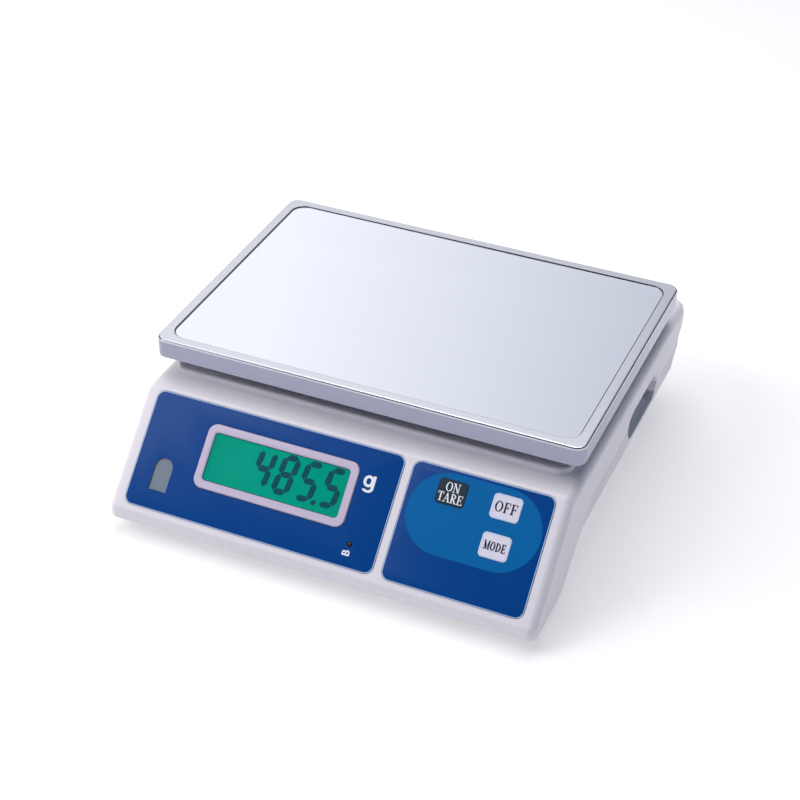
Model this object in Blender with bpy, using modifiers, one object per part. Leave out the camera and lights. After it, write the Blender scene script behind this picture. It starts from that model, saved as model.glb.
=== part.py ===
"""Counting scale: a bench scale with a steel pan, a sloped display and key panel and four levelling feet.

Frame: +Z up, the operator stands on the -Y side, the origin is on the table under the centre of the scale.
"""
import math

import bmesh
import bpy
from mathutils import Vector

MM = 0.001

# ---------------------------------------------------------------- overall sizes
BODY_WIDTH = 280 * MM
BODY_DEPTH = 296 * MM
DECK_HEIGHT = 73 * MM
PAN_WIDTH = 280 * MM
PAN_DEPTH = 193 * MM
PAN_HEIGHT = 100 * MM
GAP = 0.3 * MM
WALL = 2.5 * MM
REACH = 40 * MM

# ---------------------------------------------------------------- housing
SHELL_BOTTOM = 10 * MM
LIP_HEIGHT = 7 * MM
PANEL_ANGLE = math.radians(44.4)
PARTING_HEIGHT = 46.5 * MM
KNEE_HEIGHT = 54 * MM
REAR_RAKE = 0.95
EDGE_RADIUS = 6 * MM
REAR_CORNER_RADIUS = 16 * MM
FOLD_RADIUS = 4 * MM
TOP_REAR_RADIUS = 10 * MM
LIP_RADIUS = 5 * MM
LEG_LENGTH = 44 * MM
LEG_ANGLE = math.radians(35.1)
FLOOR_HEIGHT = 12 * MM
BAND_HEIGHT = 35 * MM
BASE_INSET = 18 * MM
BASE_REAR_INSET = 11 * MM
BASE_FRONT_INSET = 10 * MM
BASE_LIP = 5 * MM
PLATEAU_RISE = 5 * MM
PLATEAU_SIDE_MARGIN = 9 * MM
PLATEAU_FRONT_MARGIN = 16 * MM
PLATEAU_REAR_MARGIN = 34 * MM
PLATEAU_RADIUS = 10 * MM
GRIP_LENGTH = 60 * MM
GRIP_TOP = 56.5 * MM
GRIP_BOTTOM = 38 * MM
GRIP_DEPTH = 7 * MM
GRIP_REAR_SETBACK = 101 * MM

# ---------------------------------------------------------------- pan and its carrier
PAN_SKIRT = 13 * MM
PAN_SHEET = 1.2 * MM
PAN_CORNER_RADIUS = 7 * MM
PAN_EDGE_RADIUS = 1.4 * MM
PAN_RIM = 7.2 * MM
PAN_DISH = 0.8 * MM
PAN_DISH_RADIUS = 9 * MM
PAN_REAR_MARGIN = 34.5 * MM
CARRIER_UNDERSIDE = 80 * MM
CARRIER_PLATE = 6 * MM
CARRIER_RIB = 4 * MM
CARRIER_RIB_WIDTH = 5 * MM
ARM_WIDTH = 18 * MM
ARM_INSET_X = 35 * MM
ARM_INSET_Y = 34 * MM
ARM_BOSS_RADIUS = 12 * MM
HUB_SIZE = (136 * MM, 56 * MM)
CUSHION_RADIUS = 9 * MM
CUSHION_STEM_RADIUS = 3.5 * MM
CUSHION_STEM = 6 * MM

# ---------------------------------------------------------------- load cell and chassis
CHASSIS_THICKNESS = 3 * MM
CHASSIS_MARGIN = 4 * MM
RISER_HEIGHT = 20 * MM
CELL_LENGTH = 130 * MM
CELL_WIDTH = 30 * MM
CELL_HEIGHT = 22 * MM
CELL_END = 30 * MM
CELL_HOLE_RADIUS = 7.5 * MM
CELL_HOLE_SPACING = 26 * MM
CELL_SCREW_SPACING = 16 * MM
CELL_SCREW_RADIUS = 3 * MM
SCREW_HEAD_RADIUS = 4.9 * MM
SCREW_HEAD_HEIGHT = 5 * MM
POST_OPENING_MARGIN = 8 * MM
STOP_GAP = 0.5 * MM
STOP_RADIUS = 4 * MM
STOP_NUT_HEIGHT = 5 * MM
STOP_NUT_RADIUS = 6.5 * MM

# ---------------------------------------------------------------- feet and screws
FOOT_SIDE_INSET = 35 * MM
FOOT_FRONT_INSET = 43 * MM
FOOT_REAR_INSET = 55 * MM
FOOT_KNOB_RADIUS = 14 * MM
FOOT_KNOB_TOP = 8.4 * MM
FOOT_PAD_RADIUS = 11 * MM
FOOT_PAD_HEIGHT = 2.4 * MM
FOOT_RECESS = 1.4 * MM
FOOT_STUD_RADIUS = 4 * MM
FOOT_STUD_TOP = 34 * MM
FOOT_NUT_RADIUS = 8 * MM
FOOT_NUT_HEIGHT = 7 * MM
POST_RADIUS = 5.5 * MM
POST_SIDE_INSET = 28 * MM
POST_FRONT_INSET = 84 * MM
POST_REAR_INSET = 98 * MM
POST_JOINT = 40 * MM
SHELL_SCREW_RADIUS = 1.9 * MM
SHELL_SCREW_HEAD_RADIUS = 3.6 * MM
SHELL_SCREW_HEAD_HEIGHT = 2.6 * MM
SHELL_SCREW_LENGTH = 34 * MM
SHELL_SCREW_RECESS = 7 * MM

# ---------------------------------------------------------------- front panel, measured down the slope
PANEL_TOP_MARGIN = 1.7 * MM
PANEL_BOTTOM_MARGIN = 5.2 * MM
PANEL_SIDE_MARGIN = 9.3 * MM
OVERLAY_SPLIT = 39.2 * MM
OVERLAY_SPLIT_GAP = 5.4 * MM
OVERLAY_RADIUS = 5.5 * MM
OVERLAY_THICKNESS = 0.6 * MM
OVERLAY_RECESS = 0.6 * MM
BEZEL_SIZE = (101.3 * MM, 40.4 * MM)
BEZEL_RIGHT_MARGIN = 25.5 * MM
BEZEL_DROP = 31.6 * MM
BEZEL_FRAME = 5 * MM
BEZEL_RADIUS = 6 * MM
BEZEL_FACE = 1.2 * MM
BEZEL_FLANGE = 2 * MM
WINDOW_RADIUS = 2.4 * MM
WINDOW_THICKNESS = 1.4 * MM
LCD_THICKNESS = 2.2 * MM
BACKLIGHT_THICKNESS = 2.9 * MM
LCD_MARGIN = 4 * MM
BOARD_THICKNESS = 1.6 * MM
BOARD_BOSS_RADIUS = 3 * MM
DISPLAY_BOARD_SIZE = (128 * MM, 62 * MM)
LEVEL_WIDTH = 12 * MM
LEVEL_HEIGHT = 21.2 * MM
LEVEL_LEFT_MARGIN = 19.2 * MM
LEVEL_DROP = 50.6 * MM
LEVEL_WELL_WALL = 1.6 * MM
LEVEL_WELL_DEPTH = 1.5 * MM
LED_RADIUS = 1.5 * MM
LED_RIGHT_MARGIN = 18.3 * MM
LED_DROP = 59.2 * MM
KEY_SIZE = (18 * MM, 15 * MM)
KEY_RADIUS = 2.6 * MM
KEY_CLEARANCE = 0.4 * MM
KEY_PROUD = 0.5 * MM
KEY_TRAVEL = 0.6 * MM
KEY_FLANGE = 1.5 * MM
KEY_FLANGE_THICKNESS = 1 * MM
KEY_COLUMN_LEFT = 69.2 * MM
KEY_COLUMN_RIGHT = 103.2 * MM
KEY_ROW_TOP = 13.7 * MM
KEY_ROW_BOTTOM = 37 * MM
SWITCH_SIZE = 6 * MM
SWITCH_HEIGHT = 4 * MM
PLUNGER_RADIUS = 1.7 * MM
PLUNGER_LENGTH = 3 * MM
KEYPAD_BOARD_SIZE = (74 * MM, 44 * MM)

# ---------------------------------------------------------------- electrics
BATTERY_SIZE = (100 * MM, 70 * MM, 47 * MM)
BATTERY_REAR_MARGIN = 35 * MM
STRAP_THICKNESS = 1.5 * MM
STRAP_WIDTH = 16 * MM
STRAP_FLANGE = 13 * MM
MAIN_BOARD_SIZE = (110 * MM, 60 * MM)
MAIN_BOARD_CENTRE = (10 * MM, -70 * MM)
MAIN_BOARD_STANDOFF = 6.2 * MM
STANDOFF_RADIUS = 3 * MM
INLET_REAR_SETBACK = 44 * MM
INLET_HEIGHT = 57 * MM
INLET_RADIUS = 5 * MM
INLET_LENGTH = 14 * MM
INLET_FLANGE_RADIUS = 6.4 * MM
INLET_FLANGE_THICKNESS = 2 * MM
RETAINER_SPACING = 10 * MM
RETAINER_BOSS_RADIUS = 2.5 * MM
RETAINER_THICKNESS = 1.5 * MM
INLET_BORE_RADIUS = 3 * MM
INLET_PIN_RADIUS = 1 * MM
CABLE_RADIUS = 2 * MM
LEAD_RADIUS = 1.6 * MM
VIAL_RADIUS = 6 * MM
VIAL_HEIGHT = 6.7 * MM
CUP_WALL = 2 * MM
CUP_FLOOR = 2.4 * MM
CUP_HEIGHT = 7.5 * MM
VIAL_OFFSET = (2.4 * MM, -124 * MM)

# ---------------------------------------------------------------- places worked out from the sizes
HALF_WIDTH = BODY_WIDTH / 2
HALF_DEPTH = BODY_DEPTH / 2
LIP_TOP = SHELL_BOTTOM + LIP_HEIGHT
FOLD_Y = -HALF_DEPTH + (DECK_HEIGHT - LIP_TOP) / math.tan(PANEL_ANGLE)
SLOPE_LENGTH = (DECK_HEIGHT - LIP_TOP) / math.sin(PANEL_ANGLE)
OVERLAY_LENGTH = SLOPE_LENGTH - PANEL_TOP_MARGIN - PANEL_BOTTOM_MARGIN
PAN_Y = HALF_DEPTH - PAN_REAR_MARGIN - PAN_DEPTH / 2
PLATEAU_TOP = DECK_HEIGHT + PLATEAU_RISE
CHASSIS_UNDERSIDE = FLOOR_HEIGHT + WALL + GAP
CHASSIS_TOP = CHASSIS_UNDERSIDE + CHASSIS_THICKNESS
RISER_TOP = CHASSIS_TOP + GAP + RISER_HEIGHT
CELL_UNDERSIDE = RISER_TOP + GAP
CELL_TOP = CELL_UNDERSIDE + CELL_HEIGHT
CARRIER_TOP = CARRIER_UNDERSIDE + CARRIER_PLATE + CARRIER_RIB
DISH_UNDERSIDE = PAN_HEIGHT - PAN_DISH - PAN_SHEET
FIXED_END_X = -CELL_LENGTH / 2 + CELL_END / 2
FREE_END_X = CELL_LENGTH / 2 - CELL_END / 2
LEFT_OVERLAY = (-HALF_WIDTH + PANEL_SIDE_MARGIN, OVERLAY_SPLIT - OVERLAY_SPLIT_GAP / 2)
RIGHT_OVERLAY = (OVERLAY_SPLIT + OVERLAY_SPLIT_GAP / 2, HALF_WIDTH - PANEL_SIDE_MARGIN)
BEZEL_X = LEFT_OVERLAY[1] - BEZEL_RIGHT_MARGIN - BEZEL_SIZE[0] / 2
LEVEL_X = LEFT_OVERLAY[0] + LEVEL_LEFT_MARGIN
LED_X = LEFT_OVERLAY[1] - LED_RIGHT_MARGIN
GRIP_Y = HALF_DEPTH - GRIP_REAR_SETBACK
INLET_Y = HALF_DEPTH - INLET_REAR_SETBACK
INLET_FLANGE_FACE = HALF_WIDTH - WALL - GAP
LCD_FRONT = -WALL - GAP
BACKLIGHT_FRONT = LCD_FRONT - LCD_THICKNESS - GAP
DISPLAY_BOARD_FRONT = BACKLIGHT_FRONT - BACKLIGHT_THICKNESS - GAP
FLANGE_FRONT = -WALL - GAP
FLANGE_BACK = FLANGE_FRONT - KEY_FLANGE_THICKNESS
PLUNGER_FRONT = FLANGE_BACK - GAP
SWITCH_FRONT = PLUNGER_FRONT - KEY_TRAVEL - GAP
KEYPAD_BOARD_FRONT = SWITCH_FRONT - SWITCH_HEIGHT - GAP
DISPLAY_BOARD_CENTRE = (BEZEL_X + 7.1 * MM, BEZEL_DROP + 3.9 * MM)
KEYPAD_BOARD_CENTRE = ((KEY_COLUMN_LEFT + KEY_COLUMN_RIGHT) / 2, 26.5 * MM)
KEYS = {
    "on_tare": (KEY_COLUMN_LEFT, KEY_ROW_TOP),
    "off": (KEY_COLUMN_RIGHT, KEY_ROW_TOP),
    "mode": (KEY_COLUMN_RIGHT, KEY_ROW_BOTTOM),
}
FEET = {
    "front_left": (-HALF_WIDTH + FOOT_SIDE_INSET, -HALF_DEPTH + FOOT_FRONT_INSET),
    "front_right": (HALF_WIDTH - FOOT_SIDE_INSET, -HALF_DEPTH + FOOT_FRONT_INSET),
    "rear_left": (-HALF_WIDTH + FOOT_SIDE_INSET, HALF_DEPTH - FOOT_REAR_INSET),
    "rear_right": (HALF_WIDTH - FOOT_SIDE_INSET, HALF_DEPTH - FOOT_REAR_INSET),
}
POSTS = {
    "front_left": (-HALF_WIDTH + POST_SIDE_INSET, -HALF_DEPTH + POST_FRONT_INSET),
    "front_right": (HALF_WIDTH - POST_SIDE_INSET, -HALF_DEPTH + POST_FRONT_INSET),
    "rear_left": (-HALF_WIDTH + POST_SIDE_INSET, HALF_DEPTH - POST_REAR_INSET),
    "rear_right": (HALF_WIDTH - POST_SIDE_INSET, HALF_DEPTH - POST_REAR_INSET),
}
ARMS = [
    (sx * (PAN_WIDTH / 2 - ARM_INSET_X), sy * (PAN_DEPTH / 2 - ARM_INSET_Y))
    for sx in (-1, 1)
    for sy in (-1, 1)
]

# ---------------------------------------------------------------- finishes: colour, roughness, metallic
FINISHES = {
    "white_plastic": ((0.76, 0.73, 0.78), 0.38, 0.0),
    "grey_plastic": ((0.45, 0.45, 0.47), 0.5, 0.0),
    "bezel_plastic": ((0.62, 0.55, 0.66), 0.35, 0.0),
    "mirror_steel": ((0.82, 0.84, 0.88), 0.08, 1.0),
    "zinc_steel": ((0.6, 0.61, 0.63), 0.35, 1.0),
    "cast_aluminium": ((0.65, 0.66, 0.68), 0.45, 1.0),
    "rubber": ((0.03, 0.03, 0.03), 0.8, 0.0),
    "blue_film": ((0.0, 0.051, 0.223), 0.3, 0.0),
    "key_white": ((0.72, 0.7, 0.78), 0.35, 0.0),
    "key_dark": ((0.012, 0.026, 0.038), 0.4, 0.0),
    "clear_lens": ((0.75, 0.78, 0.8), 0.05, 0.0),
    "lcd_green": ((0.0, 0.3, 0.22), 0.2, 0.0),
    "board_green": ((0.02, 0.16, 0.06), 0.5, 0.0),
    "black_plastic": ((0.02, 0.02, 0.022), 0.45, 0.0),
    "battery_grey": ((0.1, 0.1, 0.11), 0.5, 0.0),
    "level_green": ((0.35, 0.6, 0.2), 0.1, 0.0),
    "led_red": ((0.35, 0.02, 0.02), 0.2, 0.0),
}


def start_scene():
    """Remove every object and make the two collections."""
    for item in list(bpy.data.objects):
        bpy.data.objects.remove(item, do_unlink=True)
    groups = {}
    for name in ("counting_scale", "cutters"):
        groups[name] = bpy.data.collections.new(name)
        bpy.context.scene.collection.children.link(groups[name])
    return groups


GROUPS = start_scene()


def finish_material(finish):
    """The material of a finish, made once."""
    if finish in bpy.data.materials:
        return bpy.data.materials[finish]
    colour, roughness, metallic = FINISHES[finish]
    material = bpy.data.materials.new(finish)
    material.use_nodes = True
    shader = material.node_tree.nodes["Principled BSDF"]
    shader.inputs["Base Color"].default_value = (*colour, 1.0)
    shader.inputs["Roughness"].default_value = roughness
    shader.inputs["Metallic"].default_value = metallic
    return material


def place(name, data, finish=None, at=(0, 0, 0), parent=None, smooth=True):
    """Link an object: a part with a finish, or a hidden cutter without one."""
    thing = bpy.data.objects.new(name, data)
    thing.location = at
    thing.parent = parent
    if finish:
        GROUPS["counting_scale"].objects.link(thing)
        data.materials.append(finish_material(finish))
        if smooth and isinstance(data, bpy.types.Mesh):
            data.shade_smooth()
            data.set_sharp_from_angle(angle=math.radians(35))
    else:
        GROUPS["cutters"].objects.link(thing)
        thing.hide_render = True
        thing.display_type = "WIRE"
    return thing


def empty(name, at, rotation=(0, 0, 0)):
    """An empty that carries the pieces of one working frame."""
    frame = bpy.data.objects.new(name, None)
    frame.location = at
    frame.rotation_euler = rotation
    GROUPS["counting_scale"].objects.link(frame)
    return frame


def to_mesh(name, bm):
    """Turn a bmesh into mesh data."""
    mesh = bpy.data.meshes.new(name)
    bm.normal_update()
    bm.to_mesh(mesh)
    bm.free()
    return mesh


def block_mesh(size, radius=0.0, segments=4):
    """A box about the origin with its upright edges rounded."""
    bm = bmesh.new()
    bmesh.ops.create_cube(bm, size=1)
    bmesh.ops.scale(bm, vec=Vector(size), verts=bm.verts)
    if radius > 0:
        upright = [e for e in bm.edges if abs(e.verts[0].co.z - e.verts[1].co.z) > size[2] / 2]
        bmesh.ops.bevel(bm, geom=upright, offset=radius, segments=segments, profile=0.5, affect="EDGES")
    return bm


def block(name, low, high, finish=None, radius=0.0, segments=4, parent=None):
    """A box between two corners, with its upright edges rounded."""
    size = [b - a for a, b in zip(low, high)]
    centre = [(a + b) / 2 for a, b in zip(low, high)]
    return place(name, to_mesh(name, block_mesh(size, radius, segments)), finish, centre, parent)


def round_bar(name, radius, low, high, at=(0, 0), finish=None, segments=16, parent=None):
    """An upright cylinder from low to high."""
    bm = bmesh.new()
    bmesh.ops.create_cone(
        bm, cap_ends=True, segments=segments, radius1=radius, radius2=radius, depth=high - low
    )
    return place(name, to_mesh(name, bm), finish, (at[0], at[1], (low + high) / 2), parent)


def turned(name, profile, finish=None, at=(0, 0, 0), steps=24, parent=None):
    """A closed solid turned about Z from an (r, z) profile that runs down its outer side."""
    mesh = bpy.data.meshes.new(name)
    bm = bmesh.new()
    points = [bm.verts.new((r, 0, z)) for r, z in profile]
    for first, second in zip(points, points[1:]):
        bm.edges.new((first, second))
    bm.to_mesh(mesh)
    bm.free()
    thing = place(name, mesh, finish, at, parent, smooth=False)
    screw = thing.modifiers.new("turn", "SCREW")
    screw.steps = steps
    screw.render_steps = steps
    screw.use_merge_vertices = True
    screw.merge_threshold = 0.00005
    return thing


def prism(name, outline, half_width, finish=None):
    """An outline in Y and Z, as long as the body is wide, along X."""
    bm = bmesh.new()
    face = bm.faces.new([bm.verts.new((-half_width, y, z)) for y, z in outline])
    sweep = bmesh.ops.extrude_face_region(bm, geom=[face])
    moved = [item for item in sweep["geom"] if isinstance(item, bmesh.types.BMVert)]
    bmesh.ops.translate(bm, vec=(2 * half_width, 0, 0), verts=moved)
    bmesh.ops.recalc_face_normals(bm, faces=bm.faces)
    return place(name, to_mesh(name, bm), finish)


def combine(target, tools, operation="DIFFERENCE"):
    """Cut tools out of a piece, or join them to it."""
    for tool in tools:
        step = target.modifiers.new(tool.name, "BOOLEAN")
        step.operation = operation
        step.object = tool
        step.solver = "EXACT"
    return target


def rounded_outline(corners_at, insets, radii, steps=2):
    """A clockwise outline with every side moved inwards by its own distance and every corner rounded."""
    count = len(corners_at)
    sides = []
    for index in range(count):
        start = Vector(corners_at[index])
        along = (Vector(corners_at[(index + 1) % count]) - start).normalized()
        inward = Vector((along.y, -along.x))
        sides.append((start + inward * insets[index], along, inward))
    points = []
    for index in range(count):
        before, first, inward_one = sides[index - 1]
        here, second, inward_two = sides[index]
        offset = here - before
        cross = first.x * second.y - first.y * second.x
        corner = before + first * ((offset.x * second.y - offset.y * second.x) / cross)
        radius = radii[index]
        middle = inward_one + inward_two
        centre = corner + middle * radius / (1 + inward_one.dot(inward_two))
        turn = math.atan2(cross, first.dot(second))
        begin = math.atan2(-inward_one.y, -inward_one.x)
        for step in range(steps + 1):
            angle = begin + turn * step / steps
            points.append((centre.x + radius * math.cos(angle), centre.y + radius * math.sin(angle)))
    return points


def edge_inset(x, half, radius):
    """How far a rounded edge has drawn in at a place across the width."""
    past = min(max(0.0, x - (half - radius)), radius)
    return radius - math.sqrt(radius * radius - past * past)


def skin(name, rings):
    """A closed solid through equal rings of points."""
    bm = bmesh.new()
    loops = [[bm.verts.new(point) for point in ring] for ring in rings]
    for lower, upper in zip(loops, loops[1:]):
        count = len(lower)
        for index in range(count):
            following = (index + 1) % count
            bm.faces.new((lower[index], lower[following], upper[following], upper[index]))
    bm.faces.new(list(reversed(loops[0])))
    bm.faces.new(loops[-1])
    bmesh.ops.recalc_face_normals(bm, faces=bm.faces)
    return to_mesh(name, bm)


# ---------------------------------------------------------------- housing
def body_mesh(name, inset):
    """The body's outer form, or the same form one wall smaller, as outlines side by side along X."""
    low = -REACH
    outline = [
        (-HALF_DEPTH, low),
        (-HALF_DEPTH, LIP_TOP),
        (FOLD_Y, DECK_HEIGHT),
        (HALF_DEPTH, DECK_HEIGHT),
        (HALF_DEPTH, KNEE_HEIGHT),
        (HALF_DEPTH - (KNEE_HEIGHT - low) * REAR_RAKE, low),
    ]
    half = HALF_WIDTH - inset
    edge = EDGE_RADIUS - inset
    corner = REAR_CORNER_RADIUS - inset
    stations = {half - corner + corner * math.sin(k * math.pi / 8) for k in range(5)}
    stations |= {half - edge + edge * math.sin(k * math.pi / 6) for k in range(1, 3)}
    ordered = sorted(stations)
    rings = []
    for x in [-s for s in reversed(ordered)] + ordered:
        top = inset + edge_inset(abs(x), half, edge)
        rear = inset + edge_inset(abs(x), half, corner)
        crown = TOP_REAR_RADIUS - inset - 0.4 * (rear - inset)
        radii = (GAP, LIP_RADIUS, FOLD_RADIUS, crown, 2 * WALL, GAP)
        points = rounded_outline(outline, (top, top, top, rear, rear, -inset), radii)
        rings.append([(x, y, z) for y, z in points])
    return skin(name, rings)


def parting_cutter(name):
    """Everything under the upper housing's lower edge."""
    rise = PARTING_HEIGHT - SHELL_BOTTOM
    leg_end = -HALF_DEPTH + LEG_LENGTH
    far = HALF_DEPTH + REACH
    outline = [
        (-far, -2 * REACH),
        (-far, SHELL_BOTTOM),
        (leg_end, SHELL_BOTTOM),
        (leg_end + rise / math.tan(LEG_ANGLE), PARTING_HEIGHT),
        (far, PARTING_HEIGHT),
        (far, -2 * REACH),
    ]
    return prism(name, outline, HALF_WIDTH + REACH)


def stadium(name, length, height, low, high, centre):
    """A slot with round ends that runs along Y and is deep along X."""
    bm = block_mesh((height, length, high - low), height / 2 - 0.01 * MM, 6)
    bmesh.ops.rotate(
        bm,
        cent=(0, 0, 0),
        matrix=Vector((0, 0, 1)).rotation_difference(Vector((1, 0, 0))).to_matrix(),
        verts=bm.verts,
    )
    return place(name, to_mesh(name, bm), None, ((low + high) / 2, centre[0], centre[1]))


def grip_tools(side, low, high):
    """The backing of a finger grip between two heights, and the grip's hollow."""
    label = "right" if side > 0 else "left"
    inner = HALF_WIDTH - GRIP_DEPTH - WALL
    outer = HALF_WIDTH - WALL / 2
    ends = sorted((side * inner, side * outer))
    reach = GRIP_LENGTH / 2 + WALL
    backing = block(
        f"grip_backing_{label}_{round(low / MM)}",
        (ends[0], GRIP_Y - reach, low),
        (ends[1], GRIP_Y + reach, high),
    )
    bottom = sorted((side * (HALF_WIDTH - GRIP_DEPTH), side * (HALF_WIDTH + REACH)))
    middle = (GRIP_TOP + GRIP_BOTTOM) / 2
    hollow = stadium(
        f"grip_hollow_{label}_{round(low / MM)}",
        GRIP_LENGTH,
        GRIP_TOP - GRIP_BOTTOM,
        *bottom,
        (GRIP_Y, middle),
    )
    return backing, hollow


def panel_plate(name, centre, size, back, front, finish=None, radius=0.0, segments=4):
    """A plate on the sloped panel: place down the slope, and heights above its face."""
    low = (centre[0] - size[0] / 2, -centre[1] - size[1] / 2, back)
    high = (centre[0] + size[0] / 2, -centre[1] + size[1] / 2, front)
    return block(name, low, high, finish, radius, segments, PANEL)


def panel_bar(name, centre, radius, back, front, finish=None, segments=12):
    """A round bar that stands square to the sloped panel."""
    return round_bar(name, radius, back, front, (centre[0], -centre[1]), finish, segments, PANEL)


def arch(name, grow, back, front, finish=None):
    """The level's window outline: flat below and round above."""
    half = LEVEL_WIDTH / 2 + grow
    bottom = -LEVEL_DROP - LEVEL_HEIGHT / 2 - grow
    shoulder = -LEVEL_DROP + LEVEL_HEIGHT / 2 - LEVEL_WIDTH / 2
    turns = 12
    outline = [(-half, bottom)] + [
        (-half * math.cos(math.pi * k / turns), shoulder + half * math.sin(math.pi * k / turns))
        for k in range(turns + 1)
    ] + [(half, bottom)]
    bm = bmesh.new()
    face = bm.faces.new([bm.verts.new((LEVEL_X + x, y, back)) for x, y in outline])
    sweep = bmesh.ops.extrude_face_region(bm, geom=[face])
    moved = [item for item in sweep["geom"] if isinstance(item, bmesh.types.BMVert)]
    bmesh.ops.translate(bm, vec=(0, 0, front - back), verts=moved)
    bmesh.ops.recalc_face_normals(bm, faces=bm.faces)
    return place(name, to_mesh(name, bm), finish, parent=PANEL)


def corners(centre, size, inset):
    """The four corners of a rectangle, moved inwards."""
    half = (size[0] / 2 - inset, size[1] / 2 - inset)
    return [(centre[0] + sx * half[0], centre[1] + sy * half[1]) for sx in (-1, 1) for sy in (-1, 1)]


def overlay_area(span):
    """Centre and size of an overlay from its left and right ends."""
    return ((span[0] + span[1]) / 2, OVERLAY_LENGTH / 2), (span[1] - span[0], OVERLAY_LENGTH)


def build_top_housing():
    """Upper shell: deck, plateau, sloped panel, side walls and the bosses moulded inside."""
    shell = place("top_housing", body_mesh("top_housing", 0.0), "white_plastic")
    plateau_front = FOLD_Y + PLATEAU_FRONT_MARGIN
    plateau_rear = HALF_DEPTH - PLATEAU_REAR_MARGIN
    plateau_side = HALF_WIDTH - PLATEAU_SIDE_MARGIN
    plateau = block(
        "plateau",
        (-plateau_side, plateau_front, DECK_HEIGHT - WALL / 2),
        (plateau_side, plateau_rear, PLATEAU_TOP),
        radius=PLATEAU_RADIUS,
    )
    edge = plateau.modifiers.new("edge", "BEVEL")
    edge.width = 1.2 * MM
    edge.segments = 2
    under = block(
        "plateau_underside",
        (-plateau_side + WALL, plateau_front + WALL, DECK_HEIGHT - REACH / 4),
        (plateau_side - WALL, plateau_rear - WALL, PLATEAU_TOP - WALL),
        radius=PLATEAU_RADIUS - WALL,
    )
    combine(
        shell, [parting_cutter("below_parting"), place("body_cavity", body_mesh("body_cavity", WALL))]
    )
    combine(shell, [plateau], "UNION")
    combine(shell, [under])
    joins = []
    cuts = []
    for side in (-1, 1):
        backing, hollow = grip_tools(side, PARTING_HEIGHT, GRIP_TOP + WALL)
        joins.append(backing)
        cuts.append(hollow)
    for label, at in POSTS.items():
        joins.append(
            round_bar(f"upper_post_{label}", POST_RADIUS, POST_JOINT + GAP, PLATEAU_TOP - WALL / 2, at)
        )
        tip = FLOOR_HEIGHT + SHELL_SCREW_RECESS + SHELL_SCREW_LENGTH + 2 * MM
        cuts.append(
            round_bar(f"upper_post_bore_{label}", SHELL_SCREW_RADIUS + GAP, POST_JOINT - MM, tip, at)
        )
    boss_end = INLET_FLANGE_FACE - INLET_FLANGE_THICKNESS
    for sign in (-1, 1):
        at = (0, sign * RETAINER_SPACING)
        bar = round_bar(
            f"retainer_boss_{sign}",
            RETAINER_BOSS_RADIUS,
            boss_end,
            HALF_WIDTH - WALL / 2,
            at,
            parent=INLET,
        )
        joins.append(bar)
    boards = (
        (DISPLAY_BOARD_CENTRE, DISPLAY_BOARD_SIZE, DISPLAY_BOARD_FRONT, "display"),
        (KEYPAD_BOARD_CENTRE, KEYPAD_BOARD_SIZE, KEYPAD_BOARD_FRONT, "keypad"),
    )
    for centre, size, front, label in boards:
        for index, at in enumerate(corners(centre, size, BOARD_BOSS_RADIUS + MM)):
            joins.append(
                panel_bar(f"{label}_boss_{index}", at, BOARD_BOSS_RADIUS, front + GAP, -WALL / 2)
            )
    well_back = -WALL - LEVEL_WELL_DEPTH
    joins.append(arch("level_well", LEVEL_WELL_WALL, well_back, -WALL / 2))
    for label, span in (("left", LEFT_OVERLAY), ("right", RIGHT_OVERLAY)):
        centre, size = overlay_area(span)
        grown = (size[0] + 2 * GAP, size[1] + 2 * GAP)
        cuts.append(
            panel_plate(f"pocket_{label}", centre, grown, -OVERLAY_RECESS, REACH, radius=OVERLAY_RADIUS)
        )
    seat = (BEZEL_SIZE[0] - 2 * BEZEL_FLANGE + 2 * GAP, BEZEL_SIZE[1] - 2 * BEZEL_FLANGE + 2 * GAP)
    cuts.append(
        panel_plate(
            "display_opening",
            (BEZEL_X, BEZEL_DROP),
            seat,
            -WALL - MM,
            MM,
            radius=BEZEL_RADIUS - BEZEL_FLANGE,
        ),
    )
    for label, at in KEYS.items():
        size = (KEY_SIZE[0] + 2 * KEY_CLEARANCE, KEY_SIZE[1] + 2 * KEY_CLEARANCE)
        cuts.append(panel_plate(f"key_opening_{label}", at, size, -WALL - MM, MM, radius=KEY_RADIUS))
    cuts.append(arch("level_opening", 0.0, well_back - MM, MM))
    cuts.append(panel_bar("led_opening", (LED_X, LED_DROP), LED_RADIUS + GAP, -WALL - MM, MM))
    hole = CELL_END / 2 + POST_OPENING_MARGIN
    cuts.append(
        block(
            "post_opening",
            (FREE_END_X - hole, PAN_Y - hole, DECK_HEIGHT - REACH / 4),
            (FREE_END_X + hole, PAN_Y + hole, PLATEAU_TOP + MM),
            radius=6 * MM,
        )
    )
    inlet_hole = round_bar("inlet_hole", INLET_RADIUS + GAP, -REACH / 2, REACH / 2)
    inlet_hole.location = (-HALF_WIDTH, INLET_Y, INLET_HEIGHT)
    inlet_hole.rotation_euler = (0, math.pi / 2, 0)
    cuts.append(inlet_hole)
    combine(shell, joins, "UNION")
    combine(shell, cuts)
    return shell


def rounded_ring(height, half_width, front, rear, radius, arc_steps=5):
    """A closed ring of points around a rectangle with round corners."""
    centres = (
        (half_width - radius, rear - radius, 0),
        (-half_width + radius, rear - radius, 1),
        (-half_width + radius, front + radius, 2),
        (half_width - radius, front + radius, 3),
    )
    ring = []
    for x, y, quarter in centres:
        for step in range(arc_steps + 1):
            angle = (quarter + step / arc_steps) * math.pi / 2
            ring.append((x + radius * math.cos(angle), y + radius * math.sin(angle), height))
    return ring


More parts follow.
